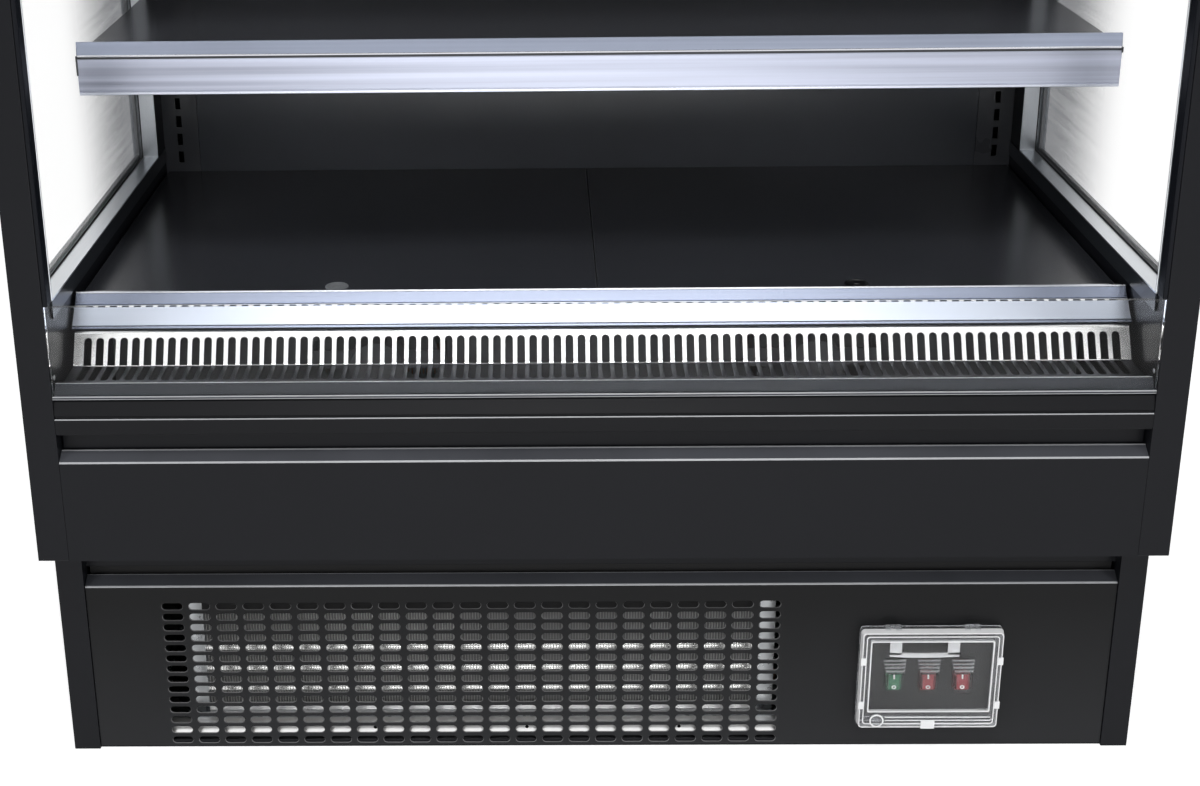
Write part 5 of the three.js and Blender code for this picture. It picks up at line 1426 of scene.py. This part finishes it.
rail_outline = [on_slope(along, proud) for along, proud in (
    (0, 0), (1.6, 0), (1.9, -0.5), (13.2, -0.5), (13.6, -1.1), (14.4, -1.1), (14.8, -0.4),
    (36.6, -0.4), (37.0, -1.0), (37.8, -1.0), (38.2, 0), (40.3, 0))]
rail_outline += [(86.6, 455.2), (114.1, 481.9), (114.1, 472.5), (129, 472.5), (129, 474.0),
                 (115.6, 474.0), (115.6, 485.8)]
rail_shell = extruded(local(rail_outline), -RAIL_HALF, RAIL_HALF)
for face in rail_shell.faces:
    middle = face.calc_center_median()
    offset = Vector(((middle.y - FRONT_Y) * 1000, middle.z * 1000)) - RAIL_TOP
    along, proud = -offset @ SLOPE, offset @ OUTWARD
    if abs(face.normal.x) < 0.5 and proud > -1.3 and face.normal.y < 0.2:
        if proud < -1.0:
            face.material_index = 2
        # The top edge is painted lighter as a highlight.
        elif along < 1.7:
            face.material_index = 1
        elif along < 14.3 or along > 36.7:
            face.material_index = 3
dressed("deck_rail_extruded", rail_shell, "cabinet", "bright_aluminium", rail_metal, rail_edge_highlight,
        rail_shade, rail_band, node_name="deck_rail")


# ---- Return-air grille ----
# One bent stainless plate in front of the deck. Slots run from its flat part over the bend and up
# the slope, with rounded ends, and the plate lifts out for cleaning. Its flat is painted dark as a
# reflection of the dark inside, and the slot walls are painted dark as shade.
GRILLE_HALF = 0.5130
GRILLE_PITCH, GRILLE_SLOT, GRILLE_SLOTS = 0.01175, 0.0075, 86
SLOPE_ANGLE = math.atan2(29, 18.5)
GRILLE_BEND = (FRONT_Y + 0.060, 0.4273)
stainless = brushed_metal("stainless", (0.88, 0.88, 0.88), 0.24, (6, 1600, 1600), swing=0.14,
                          depth=0.06, tint=0.25)
# Painted shade: a dark metal for the slot walls.
stainless_slot_shade = brushed_metal("stainless_slot_shade", (0.10, 0.104, 0.112), 0.35, (600, 600, 600))
# Painted reflection: a dark copy of the stainless for the flat part, which mirrors the dark inside.
stainless_flat_shaded = brushed_metal("stainless_flat_shaded", (0.125, 0.132, 0.150), 0.36, (6, 900, 900),
                               swing=0.2, depth=0.05, tint=0.5)
grille_outline = local(((18, 427.3), (60, 427.3), (78.5, 456.3), (81.5, 456.3), (81.5, 454.8),
                        (79.5, 454.8), (61, 425.8), (18, 425.8)))
grille_shell = extruded(grille_outline, -GRILLE_HALF, GRILLE_HALF, edges=(1, 2, 5, 6),
                        radius=0.0018, steps=4)
grille = link_mesh("return_grille_bent", mesh_of(grille_shell, "return_grille_bent"), stainless,
                   stainless, stainless_slot_shade, stainless_flat_shaded)
for low, high, turn in ((-0.0360, 0.0045, 0), (-0.0045, 0.0284, SLOPE_ANGLE)):
    middle = (low + high) / 2
    punched(grille, (GRILLE_SLOTS, 1), (GRILLE_PITCH, 0.01), GRILLE_SLOT, high - low,
            GRILLE_SLOT * ROUND_END, 0.0024, 0.0001, turn,
            (0, GRILLE_BEND[0] + middle * math.cos(turn),
             GRILLE_BEND[1] + middle * math.sin(turn)), stainless_slot_shade)
settled(grille)
# The flat part takes the dark painted reflection.
for face in grille.data.polygons:
    if face.normal.z > 0.9 and face.center.z < GRILLE_BEND[1] + 0.0005:
        face.material_index = 3
fitted(grille, "return_grille", "return_grille")


# ---- Front guard ----
# A clear guard stands in an anodised aluminium rail on top of the bumper, whose inner lip is
# painted pale as a highlight. A screw at each end holds the guard.
dark_rail = brushed_metal("guard_rail_aluminium", (0.045, 0.049, 0.057), 0.40, (5, 1200, 1200),
                          swing=0.12, depth=0.06, tint=0.3, metallic=0, specular=0.12)
lip_highlight = finish("lip_painted_highlight", (0.85, 0.86, 0.88), 0.3)
guard_clear = clear_plastic("guard_acrylic", (0.985, 0.99, 0.99), 0.01, 1.0, 1.14, 0.02)
guard_rail_outline = local(((0.5, 416.1), (26, 416.1), (26, 425.5), (17.7, 425.5), (17.7, 427.3),
                            (16, 427.3), (7.6, 418.6), (7.6, 417.6), (1.7, 417.6), (1.7, 419.6),
                            (0.5, 419.6)))
# Its two rounded front lip edges take the pale painted edge highlight.
guard_rail_shell = extruded(guard_rail_outline, -HALF_WIDTH, HALF_WIDTH, edges=(0, 10))
# Painted highlight: the top of the inner lip is near white.
for face in guard_rail_shell.faces:
    if face.calc_center_median().z > 0.4270:
        face.material_index = 2
dressed("guard_rail_extruded", guard_rail_shell, "cabinet", "dark_aluminium", dark_rail,
        edge_highlight, lip_highlight, node_name="guard_rail")
eased("guard_glass", "guard_sheet", "cabinet", "clear_plastic", 0.0005, guard_clear)
for hand, side in (("left", -1), ("right", 1)):
    screw = in_a_row(f"guard_screw_{hand}_434", screw_head(0.0024, side * -0.0010, "x"), 1,
                     (side * 0.5198, FRONT_Y + 0.0145, 0.434), (0, 0, 0.01), zinc)
    fitted(screw, "cabinet")


# ---- Shelves ----
# Folded black shelves that hook into the uprights, each with a ticket rail along its front: a
# smooth upper lip, a pale painted highlight over a groove painted dark as shade, and a ticket
# face with a turned hem. A dark clip closes each end of the rail.
SHELF_RAIL_HALF = 0.5140
CLIP_DROPS = {"left": 25.0, "right": 11.0}  # how far each end clip hangs below the shelf, in mm
TICKET_OUTLINE = ((191.7, 8), (190.3, 8.0), (189.7, 7.4), (188.2, -4.8), (187.6, -5.3),
                  (187.3, -6.4), (188.1, -7.0), (188.1, -8.2), (187.2, -8.8), (187.0, -9.8),
                  (187.0, -40.6), (187.5, -41.0), (187.5, -41.6), (187.0, -42.0),
                  (187.0, -44.4), (187.6, -45), (191.7, -45), (191.7, -43.5),
                  (188.9, -43.5), (188.9, -9), (191.7, -9))
rail_lip = brushed_metal("rail_lip_plastic", (0.30, 0.335, 0.43), 0.20, (1.2, 90, 160),
                         depth=0.03, tint=0.5, metallic=0)
ticket_face = brushed_metal("ticket_face", (0.37, 0.39, 0.47), 0.30, (1.2, 90, 130),
                            swing=0.12, depth=0.04, tint=1.3)
ticket_bright = brushed_metal("ticket_hem", (0.52, 0.545, 0.62), 0.28, (4, 300, 500), depth=0.03)
ticket_line_highlight = brushed_metal("ticket_line_highlight", (0.80, 0.81, 0.86), 0.25, (4, 300, 500), depth=0.03)
clip_dark = finish("end_clip", (0.035, 0.037, 0.042), 0.4)
for number in range(1, 5):
    body = f"shelf_{number}"
    eased(body, f"shelf_{number}_folded", body, "black_steel", 0.0006, interior, slot_lip,
          edge_material=1)
    level_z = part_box(body)[1].z * 1000
    ticket_shell = extruded(local([(y, level_z + z) for y, z in TICKET_OUTLINE]),
                            -SHELF_RAIL_HALF, SHELF_RAIL_HALF)
    for face in ticket_shell.faces:
        middle = face.calc_center_median()
        rise = middle.z * 1000 - level_z
        if abs(face.normal.x) > 0.5:
            face.material_index = 3
        elif face.normal.y < 0.1 and middle.y < FRONT_Y + 0.1905:
            if rise > -4.9:
                face.material_index = 1
            # The groove takes the dark clip finish as painted shade.
            elif -8.9 < rise < -6.9:
                face.material_index = 3
            # The lip edge over the groove takes a pale painted highlight.
            elif -6.5 < rise < -4.8:
                face.material_index = 4
            elif rise < -43.0:
                face.material_index = 2
    dressed(f"shelf_rail_{number}_extruded", ticket_shell, body, "bright_aluminium", ticket_face,
            rail_lip, ticket_bright, clip_dark, ticket_line_highlight, node_name=f"shelf_rail_{number}")
    for hand, side in (("left", -1), ("right", 1)):
        clip = slab(bmesh.new(), sorted((side * 0.5132, side * 0.5150)),
                    (FRONT_Y + 0.1864, FRONT_Y + 0.1917),
                    ((level_z - CLIP_DROPS[hand]) / 1000, (level_z - 5.5) / 1000))
        dressed(f"shelf_rail_{number}_end_{hand}", clip, body, "black_plastic", clip_dark)


# ---- Canopy ----
# The ceiling panel with its air outlet, a folded fascia across the front, and a tubular lamp
# with an end cap on each side behind it.
LAMP_CAP = 0.0139
LAMP_HALF, LAMP_DROP, LAMP_BULGE, LAMP_STEPS = 0.012, 0.0068, 0.0132, 12
diffuser = finish("lamp_diffuser", (0.82, 0.83, 0.84), 0.35, drift=0.04, grain_size=0.002,
                  grain_depth=0.05)
# The fascia's eased edges take the pale painted edge highlight.
eased("canopy_fascia", "canopy_fascia_folded", "cabinet", "black_steel", 0.0007, black_coat,
      edge_highlight, edge_material=1)
eased("ceiling_panel", "ceiling_panel_punched", "cabinet", "black_steel", 0.0003, interior)
lamp_low, lamp_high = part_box("lamp")
lamp_turns = [math.pi * (1 + step / LAMP_STEPS) for step in range(LAMP_STEPS + 1)]
lamp_outline = [(lamp_low.y, lamp_high.z),
                *(((lamp_low.y + lamp_high.y) / 2 + LAMP_HALF * math.cos(turn),
                   lamp_high.z - LAMP_DROP + LAMP_BULGE * math.sin(turn)) for turn in lamp_turns),
                (lamp_high.y, lamp_high.z)]
lamp_shell = extruded(lamp_outline, lamp_low.x + LAMP_CAP + 0.0001,
                      lamp_high.x - LAMP_CAP - 0.0001)
dressed("lamp_tube", lamp_shell, "cabinet", "lamp_diffuser", diffuser, node_name="lamp", sharp=40)
lamp_ends = bmesh.new()
for low, high in ((lamp_low.x, lamp_low.x + LAMP_CAP), (lamp_high.x - LAMP_CAP, lamp_high.x)):
    extruded(lamp_outline, low, high, shell=lamp_ends)
dressed("lamp_end_caps", lamp_ends, "cabinet", "lamp_diffuser", plug_grey, sharp=40)
